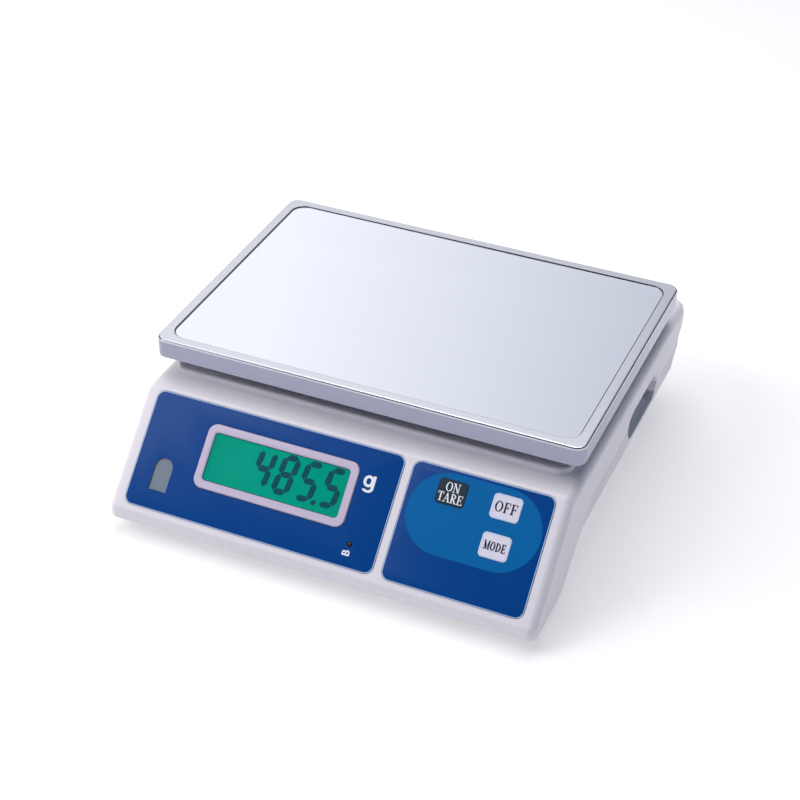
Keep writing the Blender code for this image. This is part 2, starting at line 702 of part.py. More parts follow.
def base_mesh(name, inset, top):
    """The base's outer form, or the same form one wall smaller, through three outlines."""
    reach = HALF_WIDTH - inset
    rear_top = HALF_DEPTH - (KNEE_HEIGHT - top) * REAR_RAKE - inset * 1.1
    rear_band = HALF_DEPTH - (KNEE_HEIGHT - BAND_HEIGHT) * REAR_RAKE - inset * 1.1
    front = -HALF_DEPTH + BASE_FRONT_INSET + inset
    sections = (
        (FLOOR_HEIGHT + inset, reach - BASE_INSET, front, rear_band - BASE_REAR_INSET),
        (BAND_HEIGHT + inset / 2, reach, front - BASE_FRONT_INSET / 2, rear_band),
        (top, reach, front - BASE_FRONT_INSET / 2, rear_top),
    )
    return skin(name, [rounded_ring(*section, REAR_CORNER_RADIUS - inset) for section in sections])


def build_bottom_housing():
    """Lower shell: floor, raked walls that finish flush under the upper housing, screw posts and grips."""
    base = place(
        "bottom_housing", base_mesh("bottom_housing", 0.0, PARTING_HEIGHT - GAP), "white_plastic"
    )
    cavity = place("base_cavity", base_mesh("base_cavity", WALL, PARTING_HEIGHT + MM))
    rise = PARTING_HEIGHT - SHELL_BOTTOM
    leg_end = -HALF_DEPTH + LEG_LENGTH + GAP / math.sin(LEG_ANGLE)
    lip_top = FLOOR_HEIGHT + BASE_LIP
    far = HALF_DEPTH + REACH
    front_outline = [
        (-far, lip_top),
        (-far, 2 * REACH),
        (leg_end + rise / math.tan(LEG_ANGLE), 2 * REACH),
        (leg_end + rise / math.tan(LEG_ANGLE), PARTING_HEIGHT),
        (leg_end + (lip_top - SHELL_BOTTOM) / math.tan(LEG_ANGLE), lip_top),
    ]
    front_cut = prism("front_clearance", front_outline, HALF_WIDTH + REACH)
    apron_side = HALF_WIDTH - WALL - 2 * GAP
    apron = block(
        "front_apron",
        (-apron_side, -HALF_DEPTH + WALL + 2 * GAP, FLOOR_HEIGHT),
        (apron_side, leg_end + MM, FLOOR_HEIGHT + WALL),
        radius=EDGE_RADIUS - WALL,
    )
    combine(base, [cavity, front_cut])
    joins = [apron]
    cuts = []
    for side in (-1, 1):
        backing, hollow = grip_tools(side, BAND_HEIGHT, PARTING_HEIGHT - GAP)
        joins.append(backing)
        cuts.append(hollow)
    head_seat = FLOOR_HEIGHT + SHELL_SCREW_RECESS + GAP
    for label, at in POSTS.items():
        joins.append(
            round_bar(f"lower_post_{label}", POST_RADIUS, FLOOR_HEIGHT + WALL / 2, POST_JOINT, at)
        )
        cuts.append(
            round_bar(f"lower_post_bore_{label}", SHELL_SCREW_RADIUS + GAP, 0.0, POST_JOINT + MM, at)
        )
        cuts.append(round_bar(f"head_recess_{label}", SHELL_SCREW_HEAD_RADIUS + GAP, 0.0, head_seat, at))
    for label, at in FEET.items():
        cuts.append(round_bar(f"stud_hole_{label}", FOOT_STUD_RADIUS + 2 * GAP, 0.0, CHASSIS_TOP, at))
    combine(base, joins, "UNION")
    combine(base, cuts)
    return base


# ---------------------------------------------------------------- pan, carrier and load cell
def build_pan():
    """Pressed steel pan: a flat rim, a slightly sunk middle and a skirt."""
    half = (PAN_WIDTH / 2, PAN_DEPTH / 2)
    skirt_bottom = PAN_HEIGHT - PAN_SKIRT
    pan = block(
        "weighing_pan",
        (-half[0], PAN_Y - half[1], skirt_bottom),
        (half[0], PAN_Y + half[1], PAN_HEIGHT),
        "mirror_steel",
        PAN_CORNER_RADIUS,
        6,
    )
    bm = bmesh.new()
    bm.from_mesh(pan.data)
    top = max(v.co.z for v in bm.verts)
    rim = [e for e in bm.edges if all(abs(v.co.z - top) < 0.01 * MM for v in e.verts)]
    bmesh.ops.bevel(bm, geom=rim, offset=PAN_EDGE_RADIUS, segments=3, profile=0.5, affect="EDGES")
    bm.to_mesh(pan.data)
    bm.free()
    inner = (half[0] - PAN_SHEET, half[1] - PAN_SHEET)
    hollow = block(
        "pan_hollow",
        (-inner[0], PAN_Y - inner[1], skirt_bottom - MM),
        (inner[0], PAN_Y + inner[1], PAN_HEIGHT - PAN_SHEET),
        radius=PAN_CORNER_RADIUS - PAN_SHEET,
    )
    dish = (half[0] - PAN_RIM, half[1] - PAN_RIM)
    sunk = block(
        "pan_dish",
        (-dish[0], PAN_Y - dish[1], PAN_HEIGHT - PAN_DISH),
        (dish[0], PAN_Y + dish[1], PAN_HEIGHT + MM),
        radius=PAN_DISH_RADIUS,
    )
    slab = block(
        "pan_dish_floor",
        (-dish[0] - PAN_SHEET, PAN_Y - dish[1] - PAN_SHEET, DISH_UNDERSIDE),
        (dish[0] + PAN_SHEET, PAN_Y + dish[1] + PAN_SHEET, PAN_HEIGHT - PAN_SHEET / 2),
        radius=PAN_DISH_RADIUS + PAN_SHEET,
    )
    combine(pan, [hollow])
    combine(pan, [slab], "UNION")
    combine(pan, [sunk])
    return pan


def build_carrier():
    """Cast spider that carries the pan: a hub, four ribbed arms and a boss at each tip."""
    hub = block(
        "pan_carrier",
        (-HUB_SIZE[0] / 2, PAN_Y - HUB_SIZE[1] / 2, CARRIER_UNDERSIDE),
        (HUB_SIZE[0] / 2, PAN_Y + HUB_SIZE[1] / 2, CARRIER_UNDERSIDE + CARRIER_PLATE),
        "cast_aluminium",
        8 * MM,
    )
    joins = []
    cuts = []
    reach_x, reach_y = ARMS[-1]
    cross_x = HUB_SIZE[0] / 2 - ARM_WIDTH / 2 - MM
    rails = (
        ("front", (0, -reach_y), (reach_x, 0)),
        ("rear", (0, reach_y), (reach_x, 0)),
        ("left", (-cross_x, 0), (0, reach_y)),
        ("right", (cross_x, 0), (0, reach_y)),
    )
    for label, centre, half in rails:
        lift = GAP / 2 if half[0] else GAP
        arm = (ARM_WIDTH, CARRIER_UNDERSIDE + lift, CARRIER_UNDERSIDE + CARRIER_PLATE - lift, "arm")
        rib = (CARRIER_RIB_WIDTH, CARRIER_UNDERSIDE + MM + lift, CARRIER_TOP - lift, "rib")
        for width, low, high, kind in (arm, rib):
            wide = (half[0] or width / 2, half[1] or width / 2)
            corner_low = (centre[0] - wide[0], PAN_Y + centre[1] - wide[1], low)
            corner_high = (centre[0] + wide[0], PAN_Y + centre[1] + wide[1], high)
            joins.append(block(f"{kind}_{label}", corner_low, corner_high))
    for index, (x, y) in enumerate(ARMS):
        tip = (x, PAN_Y + y)
        joins.append(
            round_bar(f"boss_{index}", ARM_BOSS_RADIUS, CARRIER_UNDERSIDE, CARRIER_TOP + GAP / 4, tip)
        )
        stem = CUSHION_STEM_RADIUS + GAP
        cuts.append(
            round_bar(f"stem_hole_{index}", stem, CARRIER_TOP - CUSHION_STEM - GAP, CARRIER_TOP + MM, tip)
        )
    head_seat = CARRIER_TOP - SCREW_HEAD_HEIGHT
    joins.append(
        block(
            "screw_pad",
            (FREE_END_X - CELL_END / 2, PAN_Y - CELL_END / 2, CARRIER_UNDERSIDE + MM),
            (FREE_END_X + CELL_END / 2, PAN_Y + CELL_END / 2, CARRIER_TOP + GAP / 2),
            radius=4 * MM,
        )
    )
    for index, sign in enumerate((-1, 1)):
        at = (FREE_END_X, PAN_Y + sign * CELL_SCREW_SPACING / 2)
        cuts.append(
            round_bar(
                f"screw_hole_{index}", CELL_SCREW_RADIUS + GAP, CARRIER_UNDERSIDE - MM, PAN_HEIGHT, at
            ),
        )
        cuts.append(round_bar(f"screw_seat_{index}", SCREW_HEAD_RADIUS + GAP, head_seat, PAN_HEIGHT, at))
    combine(hub, joins, "UNION")
    combine(hub, cuts)
    for index, (x, y) in enumerate(ARMS):
        base = CARRIER_TOP + 1.25 * GAP
        turned(
            f"pan_cushion_{index + 1}",
            [
                (0, DISH_UNDERSIDE - GAP),
                (CUSHION_RADIUS - MM, DISH_UNDERSIDE - GAP),
                (CUSHION_RADIUS, DISH_UNDERSIDE - GAP - MM),
                (CUSHION_RADIUS, base),
                (CUSHION_STEM_RADIUS, base),
                (CUSHION_STEM_RADIUS, base - CUSHION_STEM + GAP),
                (0, base - CUSHION_STEM + GAP),
            ],
            "rubber",
            (x, PAN_Y + y, 0),
            steps=16,
        )
    return hub


def cap_screw(name, at, head_top, length, head_radius, radius, finish="zinc_steel"):
    """A screw with a round socket head, pointing down from its head's top."""
    head = SCREW_HEAD_HEIGHT
    screw = turned(
        name,
        [
            (0, head_top),
            (head_radius - 0.6 * MM, head_top),
            (head_radius, head_top - 0.6 * MM),
            (head_radius, head_top - head),
            (radius, head_top - head),
            (radius, head_top - head - length + MM),
            (radius - MM, head_top - head - length),
            (0, head_top - head - length),
        ],
        finish,
        (at[0], at[1], 0),
        steps=12,
    )
    socket = round_bar(
        f"{name}_socket", radius * 0.85, head_top - head * 0.6, head_top + MM, at, segments=6
    )
    return combine(screw, [socket])


def build_load_cell():
    """Single-point load cell on its riser, with its post, screws and overload stop."""
    half = CELL_WIDTH / 2
    cell = block(
        "load_cell",
        (-CELL_LENGTH / 2, PAN_Y - half, CELL_UNDERSIDE),
        (CELL_LENGTH / 2, PAN_Y + half, CELL_TOP),
        "cast_aluminium",
    )
    middle = (CELL_UNDERSIDE + CELL_TOP) / 2
    cuts = []
    for index, sign in enumerate((-1, 1)):
        hole = round_bar(f"flexure_hole_{index}", CELL_HOLE_RADIUS, -REACH, REACH)
        hole.rotation_euler = (math.pi / 2, 0, 0)
        hole.location = (sign * CELL_HOLE_SPACING / 2, PAN_Y, middle)
        cuts.append(hole)
    slot = CELL_HOLE_SPACING / 2
    cuts.append(
        block(
            "flexure_slot",
            (-slot, PAN_Y - REACH, middle - 1.5 * MM),
            (slot, PAN_Y + REACH, middle + 1.5 * MM),
        )
    )
    ends = []
    for end_x, label in ((FIXED_END_X, "fixed"), (FREE_END_X, "free")):
        for index, sign in enumerate((-1, 1)):
            at = (end_x, PAN_Y + sign * CELL_SCREW_SPACING / 2)
            ends.append((at, label, index))
            bore = CELL_SCREW_RADIUS + GAP
            cuts.append(round_bar(f"{label}_bore_{index}", bore, CELL_UNDERSIDE - MM, CELL_TOP + MM, at))
    combine(cell, cuts)
    riser = block(
        "load_cell_riser",
        (FIXED_END_X - CELL_END / 2, PAN_Y - half, CHASSIS_TOP + GAP),
        (FIXED_END_X + CELL_END / 2, PAN_Y + half, RISER_TOP),
        "cast_aluminium",
        2 * MM,
        2,
    )
    post = block(
        "carrier_post",
        (FREE_END_X - CELL_END / 2, PAN_Y - half, CELL_TOP + GAP),
        (FREE_END_X + CELL_END / 2, PAN_Y + half, CARRIER_UNDERSIDE - GAP),
        "cast_aluminium",
        2 * MM,
        2,
    )
    for at, label, index in ends:
        if label == "fixed":
            reach = CELL_HEIGHT + 2 * GAP + RISER_HEIGHT / 2
            cap_screw(
                f"cell_screw_{index + 1}",
                at,
                CELL_TOP + GAP + SCREW_HEAD_HEIGHT,
                reach,
                SCREW_HEAD_RADIUS,
                CELL_SCREW_RADIUS,
            )
            bore = round_bar(
                f"riser_bore_{index}", CELL_SCREW_RADIUS + GAP, CHASSIS_TOP + MM * 4, RISER_TOP + MM, at
            )
            combine(riser, [bore])
        else:
            head_top = CARRIER_TOP + GAP
            reach = head_top - SCREW_HEAD_HEIGHT - CELL_UNDERSIDE - CELL_HEIGHT / 3
            cap_screw(
                f"carrier_screw_{index + 1}", at, head_top, reach, SCREW_HEAD_RADIUS, CELL_SCREW_RADIUS
            )
            bore = round_bar(f"post_bore_{index}", CELL_SCREW_RADIUS + GAP, CELL_TOP - MM, PAN_HEIGHT, at)
            combine(post, [bore])
    stop_top = CELL_UNDERSIDE - STOP_GAP
    stop_at = (FREE_END_X, PAN_Y, 0)
    turned(
        "overload_stop",
        [
            (0, stop_top),
            (STOP_RADIUS - 0.6 * MM, stop_top),
            (STOP_RADIUS, stop_top - 0.6 * MM),
            (STOP_RADIUS, CHASSIS_UNDERSIDE + GAP),
            (0, CHASSIS_UNDERSIDE + GAP),
        ],
        "zinc_steel",
        stop_at,
        steps=12,
    )
    nut_low = CHASSIS_TOP + GAP
    nut = round_bar(
        "stop_lock_nut", STOP_NUT_RADIUS, nut_low, nut_low + STOP_NUT_HEIGHT, stop_at[:2], "zinc_steel", 6
    )
    combine(
        nut,
        [
            round_bar(
                "stop_nut_bore",
                STOP_RADIUS + GAP,
                nut_low - MM,
                nut_low + STOP_NUT_HEIGHT + MM,
                stop_at[:2],
            )
        ],
    )
    return cell


def build_chassis():
    """Steel plate on the base's floor: weld nuts for the feet, standoffs and the overload stop's hole."""
    side = HALF_WIDTH - BASE_INSET - WALL - CHASSIS_MARGIN
    front = -HALF_DEPTH + BASE_FRONT_INSET + WALL + 2 * CHASSIS_MARGIN
    rear = HALF_DEPTH - (KNEE_HEIGHT - BAND_HEIGHT) * REAR_RAKE - BASE_REAR_INSET - WALL - CHASSIS_MARGIN
    plate = block(
        "chassis_plate",
        (-side, front, CHASSIS_UNDERSIDE),
        (side, rear, CHASSIS_TOP),
        "zinc_steel",
        8 * MM,
    )
    joins = []
    cuts = []
    nut_top = CHASSIS_TOP + FOOT_NUT_HEIGHT
    for label, at in FEET.items():
        joins.append(
            round_bar(
                f"weld_nut_{label}", FOOT_NUT_RADIUS, CHASSIS_UNDERSIDE + MM, nut_top, at, segments=6
            )
        )
        cuts.append(
            round_bar(f"nut_bore_{label}", FOOT_STUD_RADIUS + GAP, FLOOR_HEIGHT, nut_top + MM, at)
        )
    for label, at in POSTS.items():
        cuts.append(
            round_bar(f"post_clearance_{label}", POST_RADIUS + 3 * GAP, FLOOR_HEIGHT, nut_top, at)
        )
    for index, at in enumerate(corners(MAIN_BOARD_CENTRE, MAIN_BOARD_SIZE, STANDOFF_RADIUS + MM)):
        top = CHASSIS_TOP + MAIN_BOARD_STANDOFF
        joins.append(
            round_bar(f"standoff_{index}", STANDOFF_RADIUS, CHASSIS_TOP - MM, top, at, segments=12)
        )
    stop_hole = round_bar("stop_hole", STOP_RADIUS + GAP, FLOOR_HEIGHT, nut_top, (FREE_END_X, PAN_Y))
    cuts.append(stop_hole)
    combine(plate, joins, "UNION")
    combine(plate, cuts)
    return plate


# ---------------------------------------------------------------- feet and housing screws
def build_feet():
    """Four levelling feet: a knurled knob with its stud, and a rubber pad under it."""
    for label, at in FEET.items():
        knob_low = FOOT_PAD_HEIGHT - FOOT_RECESS + GAP
        foot = turned(
            f"foot_{label}",
            [
                (0, FOOT_STUD_TOP),
                (FOOT_STUD_RADIUS - MM, FOOT_STUD_TOP),
                (FOOT_STUD_RADIUS, FOOT_STUD_TOP - MM),
                (FOOT_STUD_RADIUS, FOOT_KNOB_TOP),
                (FOOT_KNOB_RADIUS - MM, FOOT_KNOB_TOP),
                (FOOT_KNOB_RADIUS, FOOT_KNOB_TOP - MM),
                (FOOT_KNOB_RADIUS, knob_low + MM),
                (FOOT_KNOB_RADIUS - MM, knob_low),
                (FOOT_PAD_RADIUS + GAP, knob_low),
                (FOOT_PAD_RADIUS + GAP, knob_low + FOOT_RECESS),
                (0, knob_low + FOOT_RECESS),
            ],
            "black_plastic",
            (at[0], at[1], 0),
            steps=24,
        )
        grips = []
        for index in range(6):
            angle = index * math.pi / 3
            ring = FOOT_KNOB_RADIUS + 1.8 * MM
            spot = (at[0] + ring * math.cos(angle), at[1] + ring * math.sin(angle))
            grips.append(
                round_bar(f"flute_{label}_{index}", 3 * MM, -MM, FOOT_KNOB_TOP + MM, spot, segments=8)
            )
        combine(foot, grips)
        turned(
            f"foot_pad_{label}",
            [
                (0, FOOT_PAD_HEIGHT),
                (FOOT_PAD_RADIUS, FOOT_PAD_HEIGHT),
                (FOOT_PAD_RADIUS, 0.5 * MM),
                (FOOT_PAD_RADIUS - 0.5 * MM, 0),
                (0, 0),
            ],
            "rubber",
            (at[0], at[1], 0),
            steps=24,
        )


def build_housing_screws():
    """Four screws that pull the two shells together from below."""
    seat = FLOOR_HEIGHT + SHELL_SCREW_RECESS
    for label, at in POSTS.items():
        turned(
            f"housing_screw_{label}",
            [
                (0, seat + SHELL_SCREW_LENGTH),
                (SHELL_SCREW_RADIUS - MM, seat + SHELL_SCREW_LENGTH),
                (SHELL_SCREW_RADIUS, seat + SHELL_SCREW_LENGTH - MM),
                (SHELL_SCREW_RADIUS, seat),
                (SHELL_SCREW_HEAD_RADIUS, seat),
                (SHELL_SCREW_HEAD_RADIUS, seat - SHELL_SCREW_HEAD_HEIGHT + 0.6 * MM),
                (SHELL_SCREW_HEAD_RADIUS - 0.8 * MM, seat - SHELL_SCREW_HEAD_HEIGHT),
                (0, seat - SHELL_SCREW_HEAD_HEIGHT),
            ],
            "zinc_steel",
            (at[0], at[1], 0),
            steps=12,
        )


# ---------------------------------------------------------------- front panel pieces
def build_overlays():
    """Printed films: display side with bezel, level and lamp openings, and key side with three."""
    back = -OVERLAY_RECESS + GAP
    front = back + OVERLAY_THICKNESS
    centre, size = overlay_area(LEFT_OVERLAY)
    left = panel_plate("display_overlay", centre, size, back, front, "blue_film", OVERLAY_RADIUS)
    bezel_gap = (BEZEL_SIZE[0] + 2 * GAP, BEZEL_SIZE[1] + 2 * GAP)
    combine(
        left,
        [
            panel_plate(
                "bezel_opening",
                (BEZEL_X, BEZEL_DROP),
                bezel_gap,
                -REACH,
                REACH,
                radius=BEZEL_RADIUS + GAP,
            ),
            arch("level_film_opening", 0.0, -MM, MM),
            panel_bar("led_film_opening", (LED_X, LED_DROP), LED_RADIUS + GAP, -MM, MM),
        ],
    )
    centre, size = overlay_area(RIGHT_OVERLAY)
    right = panel_plate("key_overlay", centre, size, back, front, "blue_film", OVERLAY_RADIUS)
    grown = (KEY_SIZE[0] + 2 * KEY_CLEARANCE, KEY_SIZE[1] + 2 * KEY_CLEARANCE)
    for label, at in KEYS.items():
        combine(right, [panel_plate(f"key_film_opening_{label}", at, grown, -MM, MM, radius=KEY_RADIUS)])


def build_display():
    """Bezel, clear window, liquid-crystal glass, backlight and display board."""
    centre = (BEZEL_X, BEZEL_DROP)
    rim_back = -OVERLAY_RECESS + GAP
    bezel = panel_plate(
        "display_bezel", centre, BEZEL_SIZE, rim_back, BEZEL_FACE, "bezel_plastic", BEZEL_RADIUS, 6
    )
    bm = bmesh.new()
    bm.from_mesh(bezel.data)
    top = max(v.co.z for v in bm.verts)
    rim = [e for e in bm.edges if all(abs(v.co.z - top) < 0.01 * MM for v in e.verts)]
    bmesh.ops.bevel(bm, geom=rim, offset=0.7 * MM, segments=2, profile=0.5, affect="EDGES")
    bm.to_mesh(bezel.data)
    bm.free()
    tongue = (BEZEL_SIZE[0] - 2 * BEZEL_FLANGE, BEZEL_SIZE[1] - 2 * BEZEL_FLANGE)
    opening = (BEZEL_SIZE[0] - 2 * BEZEL_FRAME, BEZEL_SIZE[1] - 2 * BEZEL_FRAME)
    pocket = (opening[0] + 3 * MM, opening[1] + 3 * MM)
    inner_radius = BEZEL_RADIUS - BEZEL_FLANGE
    combine(
        bezel,
        [panel_plate("bezel_tongue", centre, tongue, -WALL, 0.0, radius=inner_radius)],
        "UNION",
    )
    combine(
        bezel,
        [
            panel_plate("window_opening", centre, opening, -REACH, REACH, radius=WINDOW_RADIUS),
            panel_plate("window_pocket", centre, pocket, -REACH, 0.0, radius=WINDOW_RADIUS),
        ],
    )
    window = (pocket[0] - 2 * GAP, pocket[1] - 2 * GAP)
    panel_plate(
        "display_window", centre, window, -GAP - WINDOW_THICKNESS, -GAP, "clear_lens", WINDOW_RADIUS
    )
    glass = (BEZEL_SIZE[0] - LCD_MARGIN / 2, BEZEL_SIZE[1] - LCD_MARGIN / 2)
    panel_plate("lcd_glass", centre, glass, LCD_FRONT - LCD_THICKNESS, LCD_FRONT, "lcd_green", MM, 2)
    panel_plate(
        "backlight",
        centre,
        glass,
        BACKLIGHT_FRONT - BACKLIGHT_THICKNESS,
        BACKLIGHT_FRONT,
        "key_white",
        MM,
        2,
    )
    board_back = DISPLAY_BOARD_FRONT - BOARD_THICKNESS
    board = panel_plate(
        "display_board",
        DISPLAY_BOARD_CENTRE,
        DISPLAY_BOARD_SIZE,
        board_back,
        DISPLAY_BOARD_FRONT,
        "board_green",
        2 * MM,
        2,
    )
    chip_at = (DISPLAY_BOARD_CENTRE[0] - 20 * MM, DISPLAY_BOARD_CENTRE[1])
    chip = panel_plate(
        "display_chip", chip_at, (14 * MM, 14 * MM), board_back - 2 * MM, board_back + MM / 2
    )
    plug_at = (DISPLAY_BOARD_CENTRE[0] + 30 * MM, DISPLAY_BOARD_CENTRE[1] + 10 * MM)
    plug = panel_plate(
        "display_plug", plug_at, (20 * MM, 6 * MM), board_back - 5 * MM, board_back + MM / 2
    )
    combine(board, [chip, plug], "UNION")
    lamp_back = DISPLAY_BOARD_FRONT + GAP
    lamp = panel_bar("charge_lamp", (LED_X, LED_DROP), LED_RADIUS, lamp_back, GAP, "led_red", 16)
    foot = panel_bar(
        "lamp_foot", (LED_X, LED_DROP), LED_RADIUS + 0.8 * MM, lamp_back, lamp_back + MM, segments=16
    )
    combine(lamp, [foot], "UNION")


def build_keys():
    """Three keys with their plungers, and the switches and board behind them."""
    for label, at in KEYS.items():
        finish = "key_dark" if label == "on_tare" else "key_white"
        key = panel_plate(
            f"key_{label}", at, KEY_SIZE, FLANGE_FRONT - MM / 2, KEY_PROUD, finish, KEY_RADIUS
        )
        bm = bmesh.new()
        bm.from_mesh(key.data)
        top = max(v.co.z for v in bm.verts)
        rim = [e for e in bm.edges if all(abs(v.co.z - top) < 0.01 * MM for v in e.verts)]
        bmesh.ops.bevel(bm, geom=rim, offset=0.4 * MM, segments=2, profile=0.5, affect="EDGES")
        bm.to_mesh(key.data)
        bm.free()
        wide = (KEY_SIZE[0] + 2 * KEY_FLANGE, KEY_SIZE[1] + 2 * KEY_FLANGE)
        flange = panel_plate(
            f"key_flange_{label}", at, wide, FLANGE_BACK, FLANGE_FRONT, radius=KEY_RADIUS
        )
        combine(key, [flange], "UNION")
        plunger_back = PLUNGER_FRONT - PLUNGER_LENGTH
        panel_bar(
            f"plunger_{label}", at, PLUNGER_RADIUS, plunger_back, PLUNGER_FRONT, "black_plastic", 16
        )
        size = (SWITCH_SIZE, SWITCH_SIZE)
        switch_back = SWITCH_FRONT - SWITCH_HEIGHT
        switch = panel_plate(
            f"switch_{label}", at, size, switch_back, SWITCH_FRONT, "black_plastic", 0.6 * MM, 2
        )
        room = plunger_back - KEY_TRAVEL - GAP
        combine(
            switch, [panel_bar(f"plunger_bore_{label}", at, PLUNGER_RADIUS + GAP, room, MM, segments=16)]
        )
    back = KEYPAD_BOARD_FRONT - BOARD_THICKNESS
    panel_plate(
        "keypad_board",
        KEYPAD_BOARD_CENTRE,
        KEYPAD_BOARD_SIZE,
        back,
        KEYPAD_BOARD_FRONT,
        "board_green",
        2 * MM,
        2,
    )


def build_level():
    """Round spirit level in its cup, under an arched clear window."""
    back = -WALL
    arch("level_window", -GAP, back + MM, -GAP, "clear_lens")
    at = (LEVEL_X + VIAL_OFFSET[0], VIAL_OFFSET[1], 0)
    low = CHASSIS_TOP + GAP
    outer = VIAL_RADIUS + GAP + CUP_WALL
    turned(
        "level_cup",
        [
            (0, low + CUP_FLOOR),
            (VIAL_RADIUS + GAP, low + CUP_FLOOR),
            (VIAL_RADIUS + GAP, low + CUP_HEIGHT),
            (outer, low + CUP_HEIGHT),
            (outer, low),
            (0, low),
        ],
        "white_plastic",
        at,
    )
    vial_low = low + CUP_FLOOR + GAP
    turned(
        "level_vial",
        [
            (0, vial_low + VIAL_HEIGHT),
            (VIAL_RADIUS * 0.5, vial_low + VIAL_HEIGHT - 0.2 * MM),
            (VIAL_RADIUS, vial_low + VIAL_HEIGHT - 0.8 * MM),
            (VIAL_RADIUS, vial_low),
            (0, vial_low),
        ],
        "level_green",
        at,
    )


# ---------------------------------------------------------------- power, boards and leads
def smooth_route(points, per_span):
    """Points along a smooth curve through the given points."""
    route = [Vector(point) for point in points]
    padded = [2 * route[0] - route[1]] + route + [2 * route[-1] - route[-2]]
    result = []
    for index in range(len(route) - 1):
        p0, p1, p2, p3 = padded[index:index + 4]
        for step in range(per_span):
            t = step / per_span
            result.append(
                0.5 * (2 * p1 + (p2 - p0) * t + (2 * p0 - 5 * p1 + 4 * p2 - p3) * t * t
                       + (3 * p1 - p0 - 3 * p2 + p3) * t ** 3)
            )
    return result + [route[-1]]


def tube(name, points, radius, finish):
    """A round lead along a smooth route."""
    curve = bpy.data.curves.new(name, "CURVE")
    curve.dimensions = "3D"
    curve.bevel_depth = radius
    curve.bevel_resolution = 1
    curve.use_fill_caps = True
    spline = curve.splines.new("POLY")
    route = smooth_route(points, 5)
    spline.points.add(len(route) - 1)
    for point, spot in zip(spline.points, route):
        point.co = (*spot, 1.0)
    return place(name, curve, finish)


def build_power():
    """Rechargeable battery under its strap, and the charger inlet."""
    rear = HALF_DEPTH - BATTERY_REAR_MARGIN
    front = rear - BATTERY_SIZE[1]
    half = BATTERY_SIZE[0] / 2
    low = CHASSIS_TOP + GAP
    top = low + BATTERY_SIZE[2]
    battery = block("battery", (-half, front, low), (half, rear, top), "battery_grey", 3 * MM, 3)
    tabs = []
    for x in (-half + 12 * MM, -half + 26 * MM):
        tabs.append(
            block(
                f"terminal_{round(x / MM)}",
                (x - 2.4 * MM, front + 8 * MM, top - MM),
                (x + 2.4 * MM, front + 9 * MM, top + 3 * MM),
            )
        )
    combine(battery, tabs, "UNION")
    inner = half + GAP
    middle = (front + rear) / 2
    steel = STRAP_THICKNESS
    strap = block(
        "battery_strap",
        (-inner - steel, middle - STRAP_WIDTH / 2, top + GAP),
        (inner + steel, middle + STRAP_WIDTH / 2, top + GAP + steel),
        "zinc_steel",
    )
    legs = []
    for sign in (-1, 1):
        leg = sorted((sign * inner, sign * (inner + steel)))
        foot = sorted((sign * inner, sign * (inner + STRAP_FLANGE)))
        legs.append(
            block(
                f"strap_leg_{sign}",
                (leg[0], middle - STRAP_WIDTH / 2, low + steel / 2),
                (leg[1], middle + STRAP_WIDTH / 2, top + GAP + steel / 2),
            )
        )
        legs.append(
            block(
                f"strap_foot_{sign}",
                (foot[0], middle - STRAP_WIDTH / 2, low),
                (foot[1], middle + STRAP_WIDTH / 2, low + steel),
            )
        )
    combine(strap, legs, "UNION")
    build_inlet()


def build_inlet():
    """Round charger socket in the left wall, and the plate inside that holds its flange."""
    inside = HALF_WIDTH - INLET_LENGTH
    back = INLET_FLANGE_FACE - INLET_FLANGE_THICKNESS
    socket = round_bar(
        "charger_inlet", INLET_RADIUS, inside, HALF_WIDTH, finish="black_plastic", parent=INLET
    )
    flange = round_bar("inlet_flange", INLET_FLANGE_RADIUS, back, INLET_FLANGE_FACE, parent=INLET)
    bore = round_bar("inlet_bore", INLET_BORE_RADIUS, inside + 3 * MM, HALF_WIDTH + MM, parent=INLET)
    pin = round_bar(
        "inlet_pin", INLET_PIN_RADIUS, inside + 2 * MM, HALF_WIDTH - MM, segments=12, parent=INLET
    )
    combine(socket, [flange], "UNION")
    combine(socket, [bore])
    combine(socket, [pin], "UNION")
    half = RETAINER_SPACING + RETAINER_BOSS_RADIUS
    height = INLET_FLANGE_RADIUS
    face = back - GAP
    low = (-height, -half, face - RETAINER_THICKNESS)
    retainer = block("inlet_retainer", low, (height, half, face), "grey_plastic", 2 * MM, 2, INLET)
    combine(retainer, [round_bar("retainer_bore", INLET_RADIUS + GAP, inside, face + MM, parent=INLET)])


